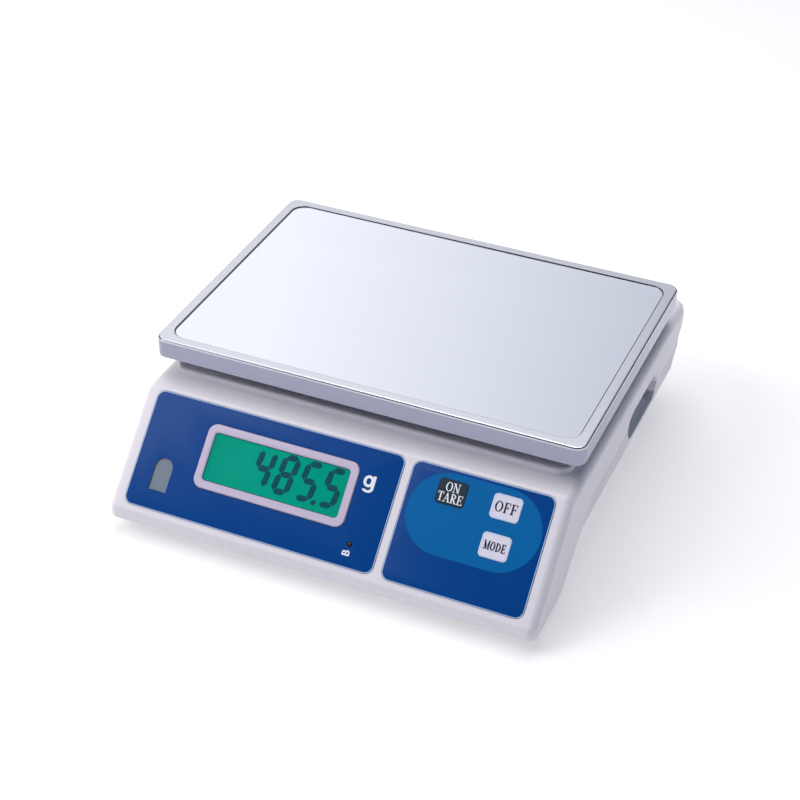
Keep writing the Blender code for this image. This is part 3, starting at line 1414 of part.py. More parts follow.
def build_boards():
    """Main board on its standoffs, and the two leads that run to it."""
    low = CHASSIS_TOP + MAIN_BOARD_STANDOFF + GAP
    high = low + BOARD_THICKNESS
    x, y = MAIN_BOARD_CENTRE
    half = (MAIN_BOARD_SIZE[0] / 2, MAIN_BOARD_SIZE[1] / 2)
    board = block(
        "main_board",
        (x - half[0], y - half[1], low),
        (x + half[0], y + half[1], high),
        "board_green",
        2 * MM,
        2,
    )
    fittings = (
        ("converter", -22, 8, 16, 16, 3.5),
        ("processor", 12, -4, 18, 18, 3),
        ("cell_socket", -42, 20, 12, 7, 8),
        ("power_socket", 30, 22, 14, 7, 8),
        ("capacitor", 38, -14, 12, 12, 11),
        ("shield", -14, -16, 26, 12, 5),
    )
    chips = []
    for label, dx, dy, width, depth, height in fittings:
        cx, cy = x + dx * MM, y + dy * MM
        chips.append(
            block(
                label,
                (cx - width * MM / 2, cy - depth * MM / 2, high - MM / 2),
                (cx + width * MM / 2, cy + depth * MM / 2, high + height * MM),
            )
        )
    combine(board, chips, "UNION")
    socket_top = high + 8 * MM + GAP
    cell_end = -CELL_LENGTH / 2 - 2 * GAP
    tube(
        "load_cell_cable",
        [
            (cell_end, PAN_Y, CELL_TOP - 8 * MM),
            (cell_end - 8 * MM, PAN_Y, CELL_TOP - 8 * MM),
            (cell_end - 16 * MM, PAN_Y - 14 * MM, CELL_TOP - 12 * MM),
            (cell_end - 8 * MM, PAN_Y - 42 * MM, CELL_TOP - 14 * MM),
            (x - 42 * MM, y + 30 * MM, socket_top + 12 * MM),
            (x - 42 * MM, y + 21 * MM, socket_top + 7 * MM),
            (x - 42 * MM, y + 20 * MM, socket_top),
        ],
        CABLE_RADIUS,
        "grey_plastic",
    )
    battery_front = HALF_DEPTH - BATTERY_REAR_MARGIN - BATTERY_SIZE[1]
    battery_top = CHASSIS_TOP + GAP + BATTERY_SIZE[2]
    tube(
        "battery_lead",
        [
            (-BATTERY_SIZE[0] / 2 + 12 * MM, battery_front + 8 * MM - 2 * GAP, battery_top + 2 * MM),
            (-BATTERY_SIZE[0] / 2 + 12 * MM, battery_front - 2 * MM, battery_top + 2 * MM),
            (-BATTERY_SIZE[0] / 2 + 14 * MM, battery_front - 6 * MM, battery_top),
            (-14 * MM, PAN_Y + 6 * MM, CELL_TOP + 6 * MM),
            (4 * MM, PAN_Y - 10 * MM, CELL_TOP + 6 * MM),
            (14 * MM, PAN_Y - 20 * MM, CELL_TOP + 3 * MM),
            (x + 22 * MM, PAN_Y - 32 * MM, CELL_TOP - 12 * MM),
            (x + 30 * MM, y + 32 * MM, socket_top + 14 * MM),
            (x + 30 * MM, y + 23 * MM, socket_top + 7 * MM),
            (x + 30 * MM, y + 22 * MM, socket_top),
        ],
        LEAD_RADIUS,
        "black_plastic",
    )


INLET = empty("inlet_frame", (0, INLET_Y, INLET_HEIGHT), (0, -math.pi / 2, 0))
PANEL = empty(
    "panel_frame",
    (
        0,
        FOLD_Y - PANEL_TOP_MARGIN * math.cos(PANEL_ANGLE),
        DECK_HEIGHT - PANEL_TOP_MARGIN * math.sin(PANEL_ANGLE),
    ),
    (PANEL_ANGLE, 0, 0),
)
build_top_housing()
build_bottom_housing()
build_pan()
build_carrier()
build_chassis()
build_load_cell()
build_feet()
build_housing_screws()
build_overlays()
build_display()
build_keys()
build_level()
build_power()
build_boards()
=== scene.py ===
"""Counting scale: fine forms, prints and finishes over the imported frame, and the studio."""

import logging
import math
from dataclasses import dataclass, field
from enum import Enum
from typing import Iterable, Sequence

import bmesh
import bpy
from mathutils import Matrix, Vector


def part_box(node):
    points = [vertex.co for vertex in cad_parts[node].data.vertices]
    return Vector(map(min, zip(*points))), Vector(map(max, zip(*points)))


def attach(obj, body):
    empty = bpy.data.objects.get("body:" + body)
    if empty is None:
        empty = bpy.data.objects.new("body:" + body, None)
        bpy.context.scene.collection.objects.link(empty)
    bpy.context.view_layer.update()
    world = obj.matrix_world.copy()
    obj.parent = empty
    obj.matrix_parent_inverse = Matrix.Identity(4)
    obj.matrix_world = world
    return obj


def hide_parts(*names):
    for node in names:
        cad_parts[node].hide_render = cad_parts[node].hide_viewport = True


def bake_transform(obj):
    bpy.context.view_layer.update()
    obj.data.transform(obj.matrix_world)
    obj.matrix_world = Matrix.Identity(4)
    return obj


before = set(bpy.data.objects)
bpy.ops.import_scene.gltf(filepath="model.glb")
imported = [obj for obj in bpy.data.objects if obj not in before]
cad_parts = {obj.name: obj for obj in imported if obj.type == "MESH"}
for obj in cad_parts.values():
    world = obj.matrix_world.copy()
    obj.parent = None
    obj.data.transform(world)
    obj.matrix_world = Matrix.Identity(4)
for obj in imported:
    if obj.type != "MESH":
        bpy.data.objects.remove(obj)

LOG = logging.getLogger("counting_scale")
MM = 0.001
Triple = tuple[float, float, float]
Pair = tuple[float, float]
Socket = bpy.types.NodeSocket
Value = Socket | float | Sequence[float]

CORNERS = ("front_left", "front_right", "rear_left", "rear_right")
INK = 0.06 * MM
LAMP_PLACE = (18.2 * MM, 59.2 * MM)


# ---------------------------------------------------------------- small geometry helpers
class Join(Enum):
    """What a Boolean does with its tool."""

    ADD = "UNION"
    CUT = "DIFFERENCE"


@dataclass(frozen=True)
class Plate:
    """A flat plate with rounded upright corners and softened rims.

    Attributes:
        width: Size along X.
        depth: Size along Y.
        low: Height of the underside.
        high: Height of the top.
        radius: Radius of the upright corners.
        top_edge: Radius of the top rim.
        bottom_edge: Radius of the bottom rim.
        segments: Steps in each upright corner.
    """

    width: float
    depth: float
    low: float
    high: float
    radius: float = 0.0
    top_edge: float = 0.0
    bottom_edge: float = 0.0
    segments: int = 10

    def build(self, centre: Pair = (0.0, 0.0)) -> bmesh.types.BMesh:
        """Make the plate.

        Args:
            centre: Place of the plate's middle in X and Y.

        Returns:
            A bmesh that holds the closed plate.
        """
        bm = bmesh.new()
        bmesh.ops.create_cube(bm, size=1.0)
        bmesh.ops.scale(bm, vec=(self.width, self.depth, self.high - self.low), verts=bm.verts)
        if self.radius > 0:
            soften(bm, upright(bm), self.radius, self.segments)
        for edge, side in ((self.top_edge, 1.0), (self.bottom_edge, -1.0)):
            if edge > 0:
                level = side * (self.high - self.low) / 2
                rim = [e for e in bm.edges if all(abs(v.co.z - level) < 1e-7 for v in e.verts)]
                soften(bm, rim, edge, 3)
        middle = (self.high + self.low) / 2
        bmesh.ops.translate(bm, vec=(centre[0], centre[1], middle), verts=bm.verts)
        return bm


def upright(bm: bmesh.types.BMesh) -> list[bmesh.types.BMEdge]:
    """The edges of a flat form that stand up."""
    return [e for e in bm.edges if abs(e.verts[0].co.z - e.verts[1].co.z) > 1e-7]


def soften(
    bm: bmesh.types.BMesh, edges: Iterable[bmesh.types.BMEdge], radius: float, segments: int
) -> None:
    """Round edges.

    Args:
        bm: The mesh to work on.
        edges: The edges to round.
        radius: Radius of the rounding.
        segments: Steps in the rounding.
    """
    bmesh.ops.bevel(
        bm, geom=list(edges), offset=radius, segments=segments, profile=0.5, affect="EDGES", material=-1
    )


def turned(profile: Sequence[Pair], steps: int = 48) -> bmesh.types.BMesh:
    """Turn a profile about Z into a closed solid.

    Args:
        profile: Radius and height of each point, from the axis round the outside and back to the axis.
        steps: Steps in the full turn.

    Returns:
        A bmesh that holds the closed solid.
    """
    bm = bmesh.new()
    points = [bm.verts.new((radius, 0.0, height)) for radius, height in profile]
    edges = [bm.edges.new(pair) for pair in zip(points, points[1:])]
    bmesh.ops.spin(
        bm,
        geom=points + edges,
        cent=(0, 0, 0),
        axis=(0, 0, 1),
        angle=math.tau,
        steps=steps,
        use_merge=True,
    )
    bmesh.ops.remove_doubles(bm, verts=bm.verts, dist=1e-6)
    bmesh.ops.recalc_face_normals(bm, faces=bm.faces)
    return bm


def bar(
    radius: float, low: float, high: float, at: Pair = (0.0, 0.0), segments: int = 32
) -> bmesh.types.BMesh:
    """Make an upright round bar.

    Args:
        radius: Radius of the bar.
        low: Height of its lower end.
        high: Height of its upper end.
        at: Place of its axis in X and Y.
        segments: Sides of the bar.

    Returns:
        A bmesh that holds the bar.
    """
    bm = bmesh.new()
    bmesh.ops.create_cone(
        bm, cap_ends=True, segments=segments, radius1=radius, radius2=radius, depth=high - low
    )
    bmesh.ops.translate(bm, vec=(at[0], at[1], (low + high) / 2), verts=bm.verts)
    return bm


def move(bm: bmesh.types.BMesh, matrix: Matrix) -> bmesh.types.BMesh:
    """Carry a whole mesh by a matrix and give it back."""
    bmesh.ops.transform(bm, matrix=matrix, verts=bm.verts)
    return bm


def to_object(name: str, bm: bmesh.types.BMesh) -> bpy.types.Object:
    """Turn a bmesh into an object at the origin.

    Args:
        name: Name of the new object.
        bm: The mesh, which is used up.

    Returns:
        The linked object.
    """
    mesh = bpy.data.meshes.new(name)
    bm.normal_update()
    bm.to_mesh(mesh)
    bm.free()
    thing = bpy.data.objects.new(name, mesh)
    bpy.context.scene.collection.objects.link(thing)
    return thing


def settle(thing: bpy.types.Object) -> bpy.types.Object:
    """Apply a piece's modifiers to its mesh.

    Args:
        thing: The object to settle.

    Returns:
        The same object with a plain mesh.
    """
    bpy.context.view_layer.update()
    graph = bpy.context.evaluated_depsgraph_get()
    finished = bpy.data.meshes.new_from_object(thing.evaluated_get(graph))
    old = thing.data
    thing.modifiers.clear()
    thing.data = finished
    bpy.data.meshes.remove(old)
    return thing


def combine(target: bpy.types.Object, tools: Sequence[bpy.types.Object], join: Join) -> bpy.types.Object:
    """Join tools to a piece or cut them out of it, and remove the tools.

    Args:
        target: The piece that is changed.
        tools: Closed solids that are used up.
        join: Whether they are added or cut out.

    Returns:
        The changed piece.
    """
    for tool in tools:
        step = target.modifiers.new(tool.name, "BOOLEAN")
        step.operation = join.value
        step.object = tool
        step.solver = "EXACT"
    settle(target)
    for tool in tools:
        bpy.data.objects.remove(tool, do_unlink=True)
    return target


def lettering(name: str, words: str, size: float, thickness: float, bold: float = 0.0) -> bpy.types.Object:
    """Make raised lettering, centred on its own middle.

    Args:
        name: Name of the new object.
        words: What it says.
        size: Height of the line.
        thickness: How far it stands up from zero.
        bold: How much wider each stroke is on either side.

    Returns:
        A mesh object that lies in XY.
    """
    curve = bpy.data.curves.new(name, "FONT")
    curve.body = words
    curve.size = size
    curve.offset = bold
    curve.align_x = "CENTER"
    curve.align_y = "CENTER"
    curve.extrude = thickness / 2
    curve.resolution_u = 6
    source = bpy.data.objects.new(name + "_source", curve)
    bpy.context.scene.collection.objects.link(source)
    bpy.context.view_layer.update()
    graph = bpy.context.evaluated_depsgraph_get()
    mesh = bpy.data.meshes.new_from_object(source.evaluated_get(graph))
    bpy.data.objects.remove(source, do_unlink=True)
    bm = bmesh.new()
    bm.from_mesh(mesh)
    bmesh.ops.remove_doubles(bm, verts=bm.verts, dist=1e-7)
    bmesh.ops.translate(bm, vec=(0, 0, thickness / 2), verts=bm.verts)
    bm.to_mesh(mesh)
    bm.free()
    thing = bpy.data.objects.new(name, mesh)
    bpy.context.scene.collection.objects.link(thing)
    return thing


@dataclass(frozen=True)
class Beam:
    """A straight stroke of a letter, in units of the letter's height."""

    start: Pair
    end: Pair
    heavy: bool = False

    def build(self, weight: Pair) -> bpy.types.Object:
        """Make the stroke.

        Args:
            weight: Width of heavy and of light strokes.

        Returns:
            The stroke.
        """
        along = Vector(self.end) - Vector(self.start)
        stroke = Plate(along.length, weight[0] if self.heavy else weight[1], 0.0, 0.05).build()
        middle = (Vector(self.end) + Vector(self.start)) / 2
        turn = Matrix.Rotation(math.atan2(along.y, along.x), 4, "Z")
        return to_object("beam", move(stroke, Matrix.Translation((middle.x, middle.y, 0)) @ turn))


@dataclass(frozen=True)
class Bowl:
    """A round stroke of a letter, heavy at its sides."""

    centre: Pair
    size: Pair
    half: bool = False

    def build(self, weight: Pair) -> bpy.types.Object:
        """Make the stroke.

        Args:
            weight: Width of heavy and of light strokes.

        Returns:
            The stroke.
        """
        at = Matrix.Translation((*self.centre, 0))
        outer = bar(0.5, 0.0, 0.05, segments=40)
        move(outer, at @ Matrix.Diagonal((*self.size, 1, 1)))
        inner = bar(0.5, -1.0, 1.0, segments=40)
        hollow = (self.size[0] - 2 * weight[0], self.size[1] - 2 * weight[1])
        move(inner, at @ Matrix.Diagonal((*hollow, 1, 1)))
        tools = [to_object("bowl_inside", inner)]
        if self.half:
            left = Plate(2.0, 4.0, -1.0, 1.0).build((self.centre[0] - 1.0, self.centre[1]))
            tools.append(to_object("bowl_left", left))
        return combine(to_object("bowl", outer), tools, Join.CUT)


def foot(x: float, y: float) -> Beam:
    """A short serif centred at a place; y is 0 at the foot and 1 at the head."""
    level = 0.035 + 0.93 * y
    return Beam((x - 0.15, level), (x + 0.15, level))


@dataclass(frozen=True)
class Letter:
    """A capital letter with heavy and light strokes.

    Attributes:
        width: Its width with the space round it, in units of its height.
        strokes: What it is drawn with.
    """

    width: float
    strokes: tuple[Beam | Bowl, ...]

    def build(self, name: str, weight: Pair) -> bpy.types.Object:
        """Make the letter one unit high.

        Args:
            name: Name of the new object.
            weight: Width of heavy and of light strokes.

        Returns:
            The letter.
        """
        parts = [stroke.build(weight) for stroke in self.strokes]
        parts[0].name = name
        return combine(parts[0], parts[1:], Join.ADD) if len(parts) > 1 else parts[0]


def stem(x: float, heavy: bool = True) -> Beam:
    """An upright stroke over the whole height."""
    return Beam((x, 0.0), (x, 1.0), heavy)


def arms(stem_x: float, reach: float) -> tuple[Beam, ...]:
    """The head and the middle arm of an E or an F with their ticks.

    Args:
        stem_x: Place of the letter's stem.
        reach: Where the head ends.

    Returns:
        The four strokes.
    """
    return (
        Beam((stem_x - 0.14, 0.965), (reach, 0.965)),
        Beam((reach - 0.03, 0.76), (reach - 0.03, 1.0)),
        Beam((stem_x, 0.51), (reach - 0.13, 0.51)),
        Beam((reach - 0.15, 0.38), (reach - 0.15, 0.64)),
    )


LETTERS: dict[str, Letter] = {
    "O": Letter(0.84, (Bowl((0.42, 0.5), (0.76, 1.02)),)),
    "N": Letter(
        0.86,
        (
            stem(0.17, False),
            stem(0.69, False),
            Beam((0.15, 0.98), (0.69, 0.03), True),
            foot(0.13, 1),
            foot(0.17, 0),
            foot(0.69, 1),
        ),
    ),
    "T": Letter(
        0.70,
        (
            stem(0.35),
            Beam((0.03, 0.965), (0.67, 0.965)),
            Beam((0.06, 0.74), (0.06, 1)),
            Beam((0.64, 0.74), (0.64, 1)),
            foot(0.35, 0),
        ),
    ),
    "A": Letter(
        0.78,
        (
            Beam((0.12, 0.03), (0.38, 0.97)),
            Beam((0.37, 0.97), (0.64, 0.03), True),
            Beam((0.2, 0.34), (0.55, 0.34)),
            foot(0.12, 0),
            foot(0.64, 0),
        ),
    ),
    "R": Letter(
        0.76,
        (
            stem(0.2),
            Bowl((0.3, 0.735), (0.66, 0.53), True),
            Beam((0.06, 0.965), (0.31, 0.965)),
            Beam((0.2, 0.505), (0.31, 0.505)),
            Beam((0.34, 0.5), (0.62, 0.03), True),
            foot(0.2, 0),
            foot(0.64, 0),
        ),
    ),
    "E": Letter(
        0.72,
        (stem(0.2), *arms(0.2, 0.62), Beam((0.06, 0.035), (0.65, 0.035)), Beam((0.62, 0.0), (0.62, 0.26))),
    ),
    "F": Letter(0.68, (stem(0.2), *arms(0.2, 0.62), foot(0.2, 0))),
    "M": Letter(
        0.96,
        (
            stem(0.16, False),
            stem(0.78),
            Beam((0.15, 0.97), (0.46, 0.05), True),
            Beam((0.46, 0.05), (0.76, 0.97)),
            foot(0.16, 0),
            foot(0.78, 0),
            foot(0.12, 1),
            foot(0.82, 1),
        ),
    ),
    "D": Letter(
        0.84,
        (
            stem(0.2),
            Bowl((0.3, 0.5), (0.96, 1.0), True),
            Beam((0.06, 0.965), (0.31, 0.965)),
            Beam((0.06, 0.035), (0.31, 0.035)),
        ),
    ),
}


def serif_word(
    name: str, word: str, height: float, wide: float, weight: Pair, thickness: float
) -> bpy.types.Object:
    """Set a word in capital letters with serifs, centred on its own middle.

    Args:
        name: Name of the new object.
        word: What it says.
        height: Height of the letters.
        wide: Stretch along the word.
        weight: Width of heavy and of light strokes, in units of the height.
        thickness: How far it stands up from zero.

    Returns:
        A mesh object that lies in XY.
    """
    whole = bmesh.new()
    along = -sum(LETTERS[sign].width for sign in word) / 2
    for sign in word:
        letter = LETTERS[sign].build("letter", weight)
        letter.data.transform(Matrix.Translation((along, -0.5, 0)))
        whole.from_mesh(letter.data)
        bpy.data.objects.remove(letter, do_unlink=True)
        along += LETTERS[sign].width
    bmesh.ops.scale(whole, vec=(height * wide, height, thickness / 0.05), verts=whole.verts)
    return to_object(name, whole)


# ---------------------------------------------------------------- shared effects
def new_group(
    name: str, inputs: Sequence[tuple[str, float]], outputs: Sequence[str]
) -> tuple[bpy.types.NodeTree, bpy.types.Node, bpy.types.Node]:
    """Start a shader node group whose sockets are all numbers.

    Args:
        name: Name of the group.
        inputs: Name and starting value of each input.
        outputs: Name of each output.

    Returns:
        The group's tree with its input and output nodes.
    """
    tree = bpy.data.node_groups.new(name, "ShaderNodeTree")
    for label, value in inputs:
        made = tree.interface.new_socket(name=label, in_out="INPUT", socket_type="NodeSocketFloat")
        made.default_value = value
    for label in outputs:
        tree.interface.new_socket(name=label, in_out="OUTPUT", socket_type="NodeSocketFloat")
    return tree, tree.nodes.new("NodeGroupInput"), tree.nodes.new("NodeGroupOutput")


def feed(tree: bpy.types.NodeTree, source: Value, target: Socket) -> None:
    """Set an input to a number or a vector, or link a socket to it.

    Args:
        tree: The tree they are in.
        source: A socket, a number or several numbers.
        target: The input.
    """
    if isinstance(source, bpy.types.NodeSocket):
        tree.links.new(source, target)
    else:
        target.default_value = source


def math_node(
    tree: bpy.types.NodeTree, operation: str, first: Value, second: Value, clamp: bool = False
) -> Socket:
    """Add a Math node.

    Args:
        tree: The tree it goes into.
        operation: Name of the operation.
        first: A socket or a number.
        second: A socket or a number.
        clamp: Whether the result stays between 0 and 1.

    Returns:
        The node's output.
    """
    node = tree.nodes.new("ShaderNodeMath")
    node.operation = operation
    node.use_clamp = clamp
    feed(tree, first, node.inputs[0])
    feed(tree, second, node.inputs[1])
    return node.outputs[0]


def object_point(tree: bpy.types.NodeTree, stretch: Triple = (1.0, 1.0, 1.0)) -> Socket:
    """Add Object coordinates with a stretch.

    Args:
        tree: The tree they go into.
        stretch: Scale along each axis.

    Returns:
        The vector.
    """
    where = tree.nodes.new("ShaderNodeTexCoord")
    mapping = tree.nodes.new("ShaderNodeMapping")
    feed(tree, stretch, mapping.inputs["Scale"])
    feed(tree, where.outputs["Object"], mapping.inputs["Vector"])
    return mapping.outputs["Vector"]


def noise(tree: bpy.types.NodeTree, where: Socket, scale: Value, **settings: float) -> Socket:
    """Add a Noise texture.

    Args:
        tree: The tree it goes into.
        where: The place to read it at.
        scale: How fine it is.
        **settings: Values of its other inputs.

    Returns:
        The noise, about a half.
    """
    node = tree.nodes.new("ShaderNodeTexNoise")
    for label, value in settings.items():
        feed(tree, value, node.inputs[label])
    feed(tree, scale, node.inputs["Scale"])
    feed(tree, where, node.inputs["Vector"])
    return node.outputs["Fac"]


def ramp(tree: bpy.types.NodeTree, value: Socket, start: Pair, end: Pair, smooth: bool = False) -> Socket:
    """Add a Map Range node.

    Args:
        tree: The tree it goes into.
        value: What it reads.
        start: Lowest and highest value read.
        end: What they become.
        smooth: Whether the ramp eases in and out.

    Returns:
        The mapped value.
    """
    node = tree.nodes.new("ShaderNodeMapRange")
    node.interpolation_type = "SMOOTHSTEP" if smooth else "LINEAR"
    feed(tree, value, node.inputs["Value"])
    for label, number in zip(("From Min", "From Max", "To Min", "To Max"), start + end):
        feed(tree, number, node.inputs[label])
    return node.outputs["Result"]


def moulded_grain() -> bpy.types.NodeTree:
    """Fine texture of moulded plastic or rubber: a height and a slow tone over the surface.

    Returns:
        The group's tree.
    """
    tree, start, end = new_group(
        "moulded_grain", (("Fineness", 1400.0), ("Spread", 14.0)), ("Height", "Tone")
    )
    where = object_point(tree)
    feed(tree, noise(tree, where, start.outputs["Fineness"], Detail=3.0), end.inputs["Height"])
    feed(tree, noise(tree, where, start.outputs["Spread"], Detail=2.0), end.inputs["Tone"])
    return tree


def brushed_grain() -> bpy.types.NodeTree:
    """Fine parallel lines of rolled or brushed metal along X: a height and a streak.

    Returns:
        The group's tree.
    """
    tree, start, end = new_group("brushed_grain", (("Fineness", 900.0),), ("Height", "Streak"))
    where = object_point(tree, (0.02, 1.0, 1.0))
    lines = noise(tree, where, start.outputs["Fineness"], Detail=4.0, Roughness=0.65)
    feed(tree, lines, end.inputs["Height"])
    feed(tree, noise(tree, where, 30.0), end.inputs["Streak"])
    return tree


def fine_marks() -> bpy.types.NodeTree:
    """Faint smears and hairline scratches from handling: a mask from 0 to 1.

    Returns:
        The group's tree.
    """
    tree, start, end = new_group("fine_marks", (("Amount", 0.3), ("Scale", 22.0)), ("Mask",))
    smear = noise(tree, object_point(tree), start.outputs["Scale"], Detail=6.0, Distortion=1.4)
    raised = math_node(tree, "SUBTRACT", smear, 0.45, clamp=True)
    spread = math_node(tree, "MULTIPLY", raised, 3.0, clamp=True)
    feed(tree, math_node(tree, "MULTIPLY", spread, start.outputs["Amount"]), end.inputs["Mask"])
    return tree


def edge_wear() -> bpy.types.NodeTree:
    """Where edges are rubbed: a mask that is 1 along sharp edges and broken up by noise.

    Returns:
        The group's tree.
    """
    tree, start, end = new_group("edge_wear", (("Width", 0.0008), ("Amount", 0.5)), ("Mask",))
    rounded = tree.nodes.new("ShaderNodeBevel")
    rounded.samples = 4
    feed(tree, start.outputs["Width"], rounded.inputs["Radius"])
    facing = tree.nodes.new("ShaderNodeNewGeometry")
    dot = tree.nodes.new("ShaderNodeVectorMath")
    dot.operation = "DOT_PRODUCT"
    feed(tree, rounded.outputs["Normal"], dot.inputs[0])
    feed(tree, facing.outputs["Normal"], dot.inputs[1])
    turned_away = math_node(tree, "SUBTRACT", 1.0, dot.outputs["Value"], clamp=True)
    sharp = math_node(tree, "MULTIPLY", turned_away, 5.0, clamp=True)
    broken = math_node(tree, "MULTIPLY", sharp, noise(tree, object_point(tree), 260.0))
    feed(tree, math_node(tree, "MULTIPLY", broken, start.outputs["Amount"]), end.inputs["Mask"])
    return tree


def height_band() -> bpy.types.NodeTree:
    """A mask that is 1 above a height, for parts that stand on a board.

    Returns:
        The group's tree.
    """
    tree, start, end = new_group("height_band", (("Level", 0.0),), ("Mask",))
    where = tree.nodes.new("ShaderNodeTexCoord")
    split = tree.nodes.new("ShaderNodeSeparateXYZ")
    feed(tree, where.outputs["Object"], split.inputs["Vector"])
    above = math_node(tree, "SUBTRACT", split.outputs["Z"], start.outputs["Level"])
    feed(tree, math_node(tree, "MULTIPLY", above, 20000.0, clamp=True), end.inputs["Mask"])
    return tree


EFFECTS: dict[str, bpy.types.NodeTree] = {
    make.__name__: make() for make in (moulded_grain, brushed_grain, fine_marks, edge_wear, height_band)
}


# ---------------------------------------------------------------- finishes
@dataclass(frozen=True)
class Finish:
    """What a surface is made of.

    Attributes:
        name: Name of the material.
        colour: Linear colour of the surface.
        roughness: Mean roughness.
        metallic: 1 for metal, 0 otherwise.
        slot: The record's material slot it belongs to.
    """

    name: str
    colour: Triple
    roughness: float = 0.4
    metallic: float = 0.0
    # slot: The record's material slot it belongs to; it is not used.
    slot: str = "white_plastic"

    def material(self) -> bpy.types.Material:
        """Build the material, or give the one already built.

        Returns:
            The material.
        """
        if self.name in bpy.data.materials:
            return bpy.data.materials[self.name]
        made = bpy.data.materials.new(self.name)
        made.use_nodes = True
        shader = made.node_tree.nodes["Principled BSDF"]
        shader.inputs["Base Color"].default_value = (*self.colour, 1.0)
        shader.inputs["Roughness"].default_value = self.roughness
        shader.inputs["Metallic"].default_value = self.metallic
        made.diffuse_color = (*self.colour, 1.0)
        self.dress(made.node_tree, shader)
        return made

    def dress(self, tree: bpy.types.NodeTree, shader: bpy.types.Node) -> None:
        """Add the surface detail: a slow change of tone and a fine grain.

        Args:
            tree: The material's tree.
            shader: Its shader.
        """
        grain = self.effect(tree, "moulded_grain", Fineness=1200.0, Spread=9.0)
        tone = grain.outputs["Tone"]
        self.mix_colour(tree, shader, self.tint(0.97), self.tint(1.03), tone)
        rough = (self.roughness * 0.91, self.roughness * 1.09)
        feed(tree, ramp(tree, tone, (0.0, 1.0), rough), shader.inputs["Roughness"])
        self.bump(tree, shader, grain.outputs["Height"], 0.00001, 0.25)

    def tint(self, factor: float, lift: float = 0.0) -> Triple:
        """The surface's colour made lighter or darker."""
        return tuple(min(1.0, part * factor + lift) for part in self.colour)

    def roughen(self, tree: bpy.types.NodeTree, shader: bpy.types.Node, mask: Socket, amount: float) -> None:
        """Let the roughness rise with a mask.

        Args:
            tree: The material's tree.
            shader: Its shader.
            mask: The mask.
            amount: How much rougher it is where the mask is 1.
        """
        more = math_node(tree, "MULTIPLY", mask, amount)
        feed(tree, math_node(tree, "ADD", more, self.roughness), shader.inputs["Roughness"])

    @staticmethod
    def effect(tree: bpy.types.NodeTree, name: str, **values: float) -> bpy.types.Node:
        """Place a shared effect with its own values.

        Args:
            tree: The material's tree.
            name: Name of the effect.
            **values: Values of its inputs.

        Returns:
            The group node.
        """
        node = tree.nodes.new("ShaderNodeGroup")
        node.node_tree = EFFECTS[name]
        for label, value in values.items():
            node.inputs[label].default_value = value
        return node

    @staticmethod
    def mix_colour(
        tree: bpy.types.NodeTree, shader: bpy.types.Node, low: Triple | Socket, high: Triple, mask: Socket
    ) -> Socket:
        """Feed Base Color with a mix of two colours.

        Args:
            tree: The material's tree.
            shader: Its shader.
            low: Colour where the mask is 0.
            high: Colour where the mask is 1.
            mask: The mask.

        Returns:
            The mixed colour.
        """
        mix = tree.nodes.new("ShaderNodeMix")
        mix.data_type = "RGBA"
        feed(tree, (*low, 1.0) if isinstance(low, tuple) else low, mix.inputs["A"])
        feed(tree, (*high, 1.0), mix.inputs["B"])
        feed(tree, mask, mix.inputs["Factor"])
        feed(tree, mix.outputs["Result"], shader.inputs["Base Color"])
        return mix.outputs["Result"]

    @staticmethod
    def bump(
        tree: bpy.types.NodeTree, shader: bpy.types.Node, height: Socket, distance: float, strength: float
    ) -> None:
        """Feed Normal with a bump.

        Args:
            tree: The material's tree.
            shader: Its shader.
            height: The height.
            distance: Depth of the bump in metres.
            strength: Strength of the bump.
        """
        node = tree.nodes.new("ShaderNodeBump")
        feed(tree, distance, node.inputs["Distance"])
        feed(tree, strength, node.inputs["Strength"])
        feed(tree, height, node.inputs["Height"])
        feed(tree, node.outputs["Normal"], shader.inputs["Normal"])


@dataclass(frozen=True)
class MouldedPlastic(Finish):
    """Injection-moulded plastic with a fine grain and slightly rubbed edges.

    Attributes:
        grain: Fineness of the grain.
        depth: Depth of the grain in metres.
        rubbed: How much lighter the edges have become.
    """

    grain: float = 1500.0
    depth: float = 0.00002
    rubbed: float = 0.15

    def dress(self, tree: bpy.types.NodeTree, shader: bpy.types.Node) -> None:
        """Add grain, drift, smears and rubbed edges.

        Args:
            tree: The material's tree.
            shader: Its shader.
        """
        shader.inputs["Specular IOR Level"].default_value = 0.3
        grain = self.effect(tree, "moulded_grain", Fineness=self.grain, Spread=7.0)
        marks = self.effect(tree, "fine_marks", Amount=0.25, Scale=18.0)
        wear = self.effect(tree, "edge_wear", Width=0.0006, Amount=self.rubbed)
        body = self.mix_colour(tree, shader, self.tint(0.975), self.tint(1.02), grain.outputs["Tone"])
        self.mix_colour(tree, shader, body, self.tint(0.6, 0.35), wear.outputs["Mask"])
        self.roughen(tree, shader, marks.outputs["Mask"], 0.25)
        self.bump(tree, shader, grain.outputs["Height"], self.depth, 0.3)


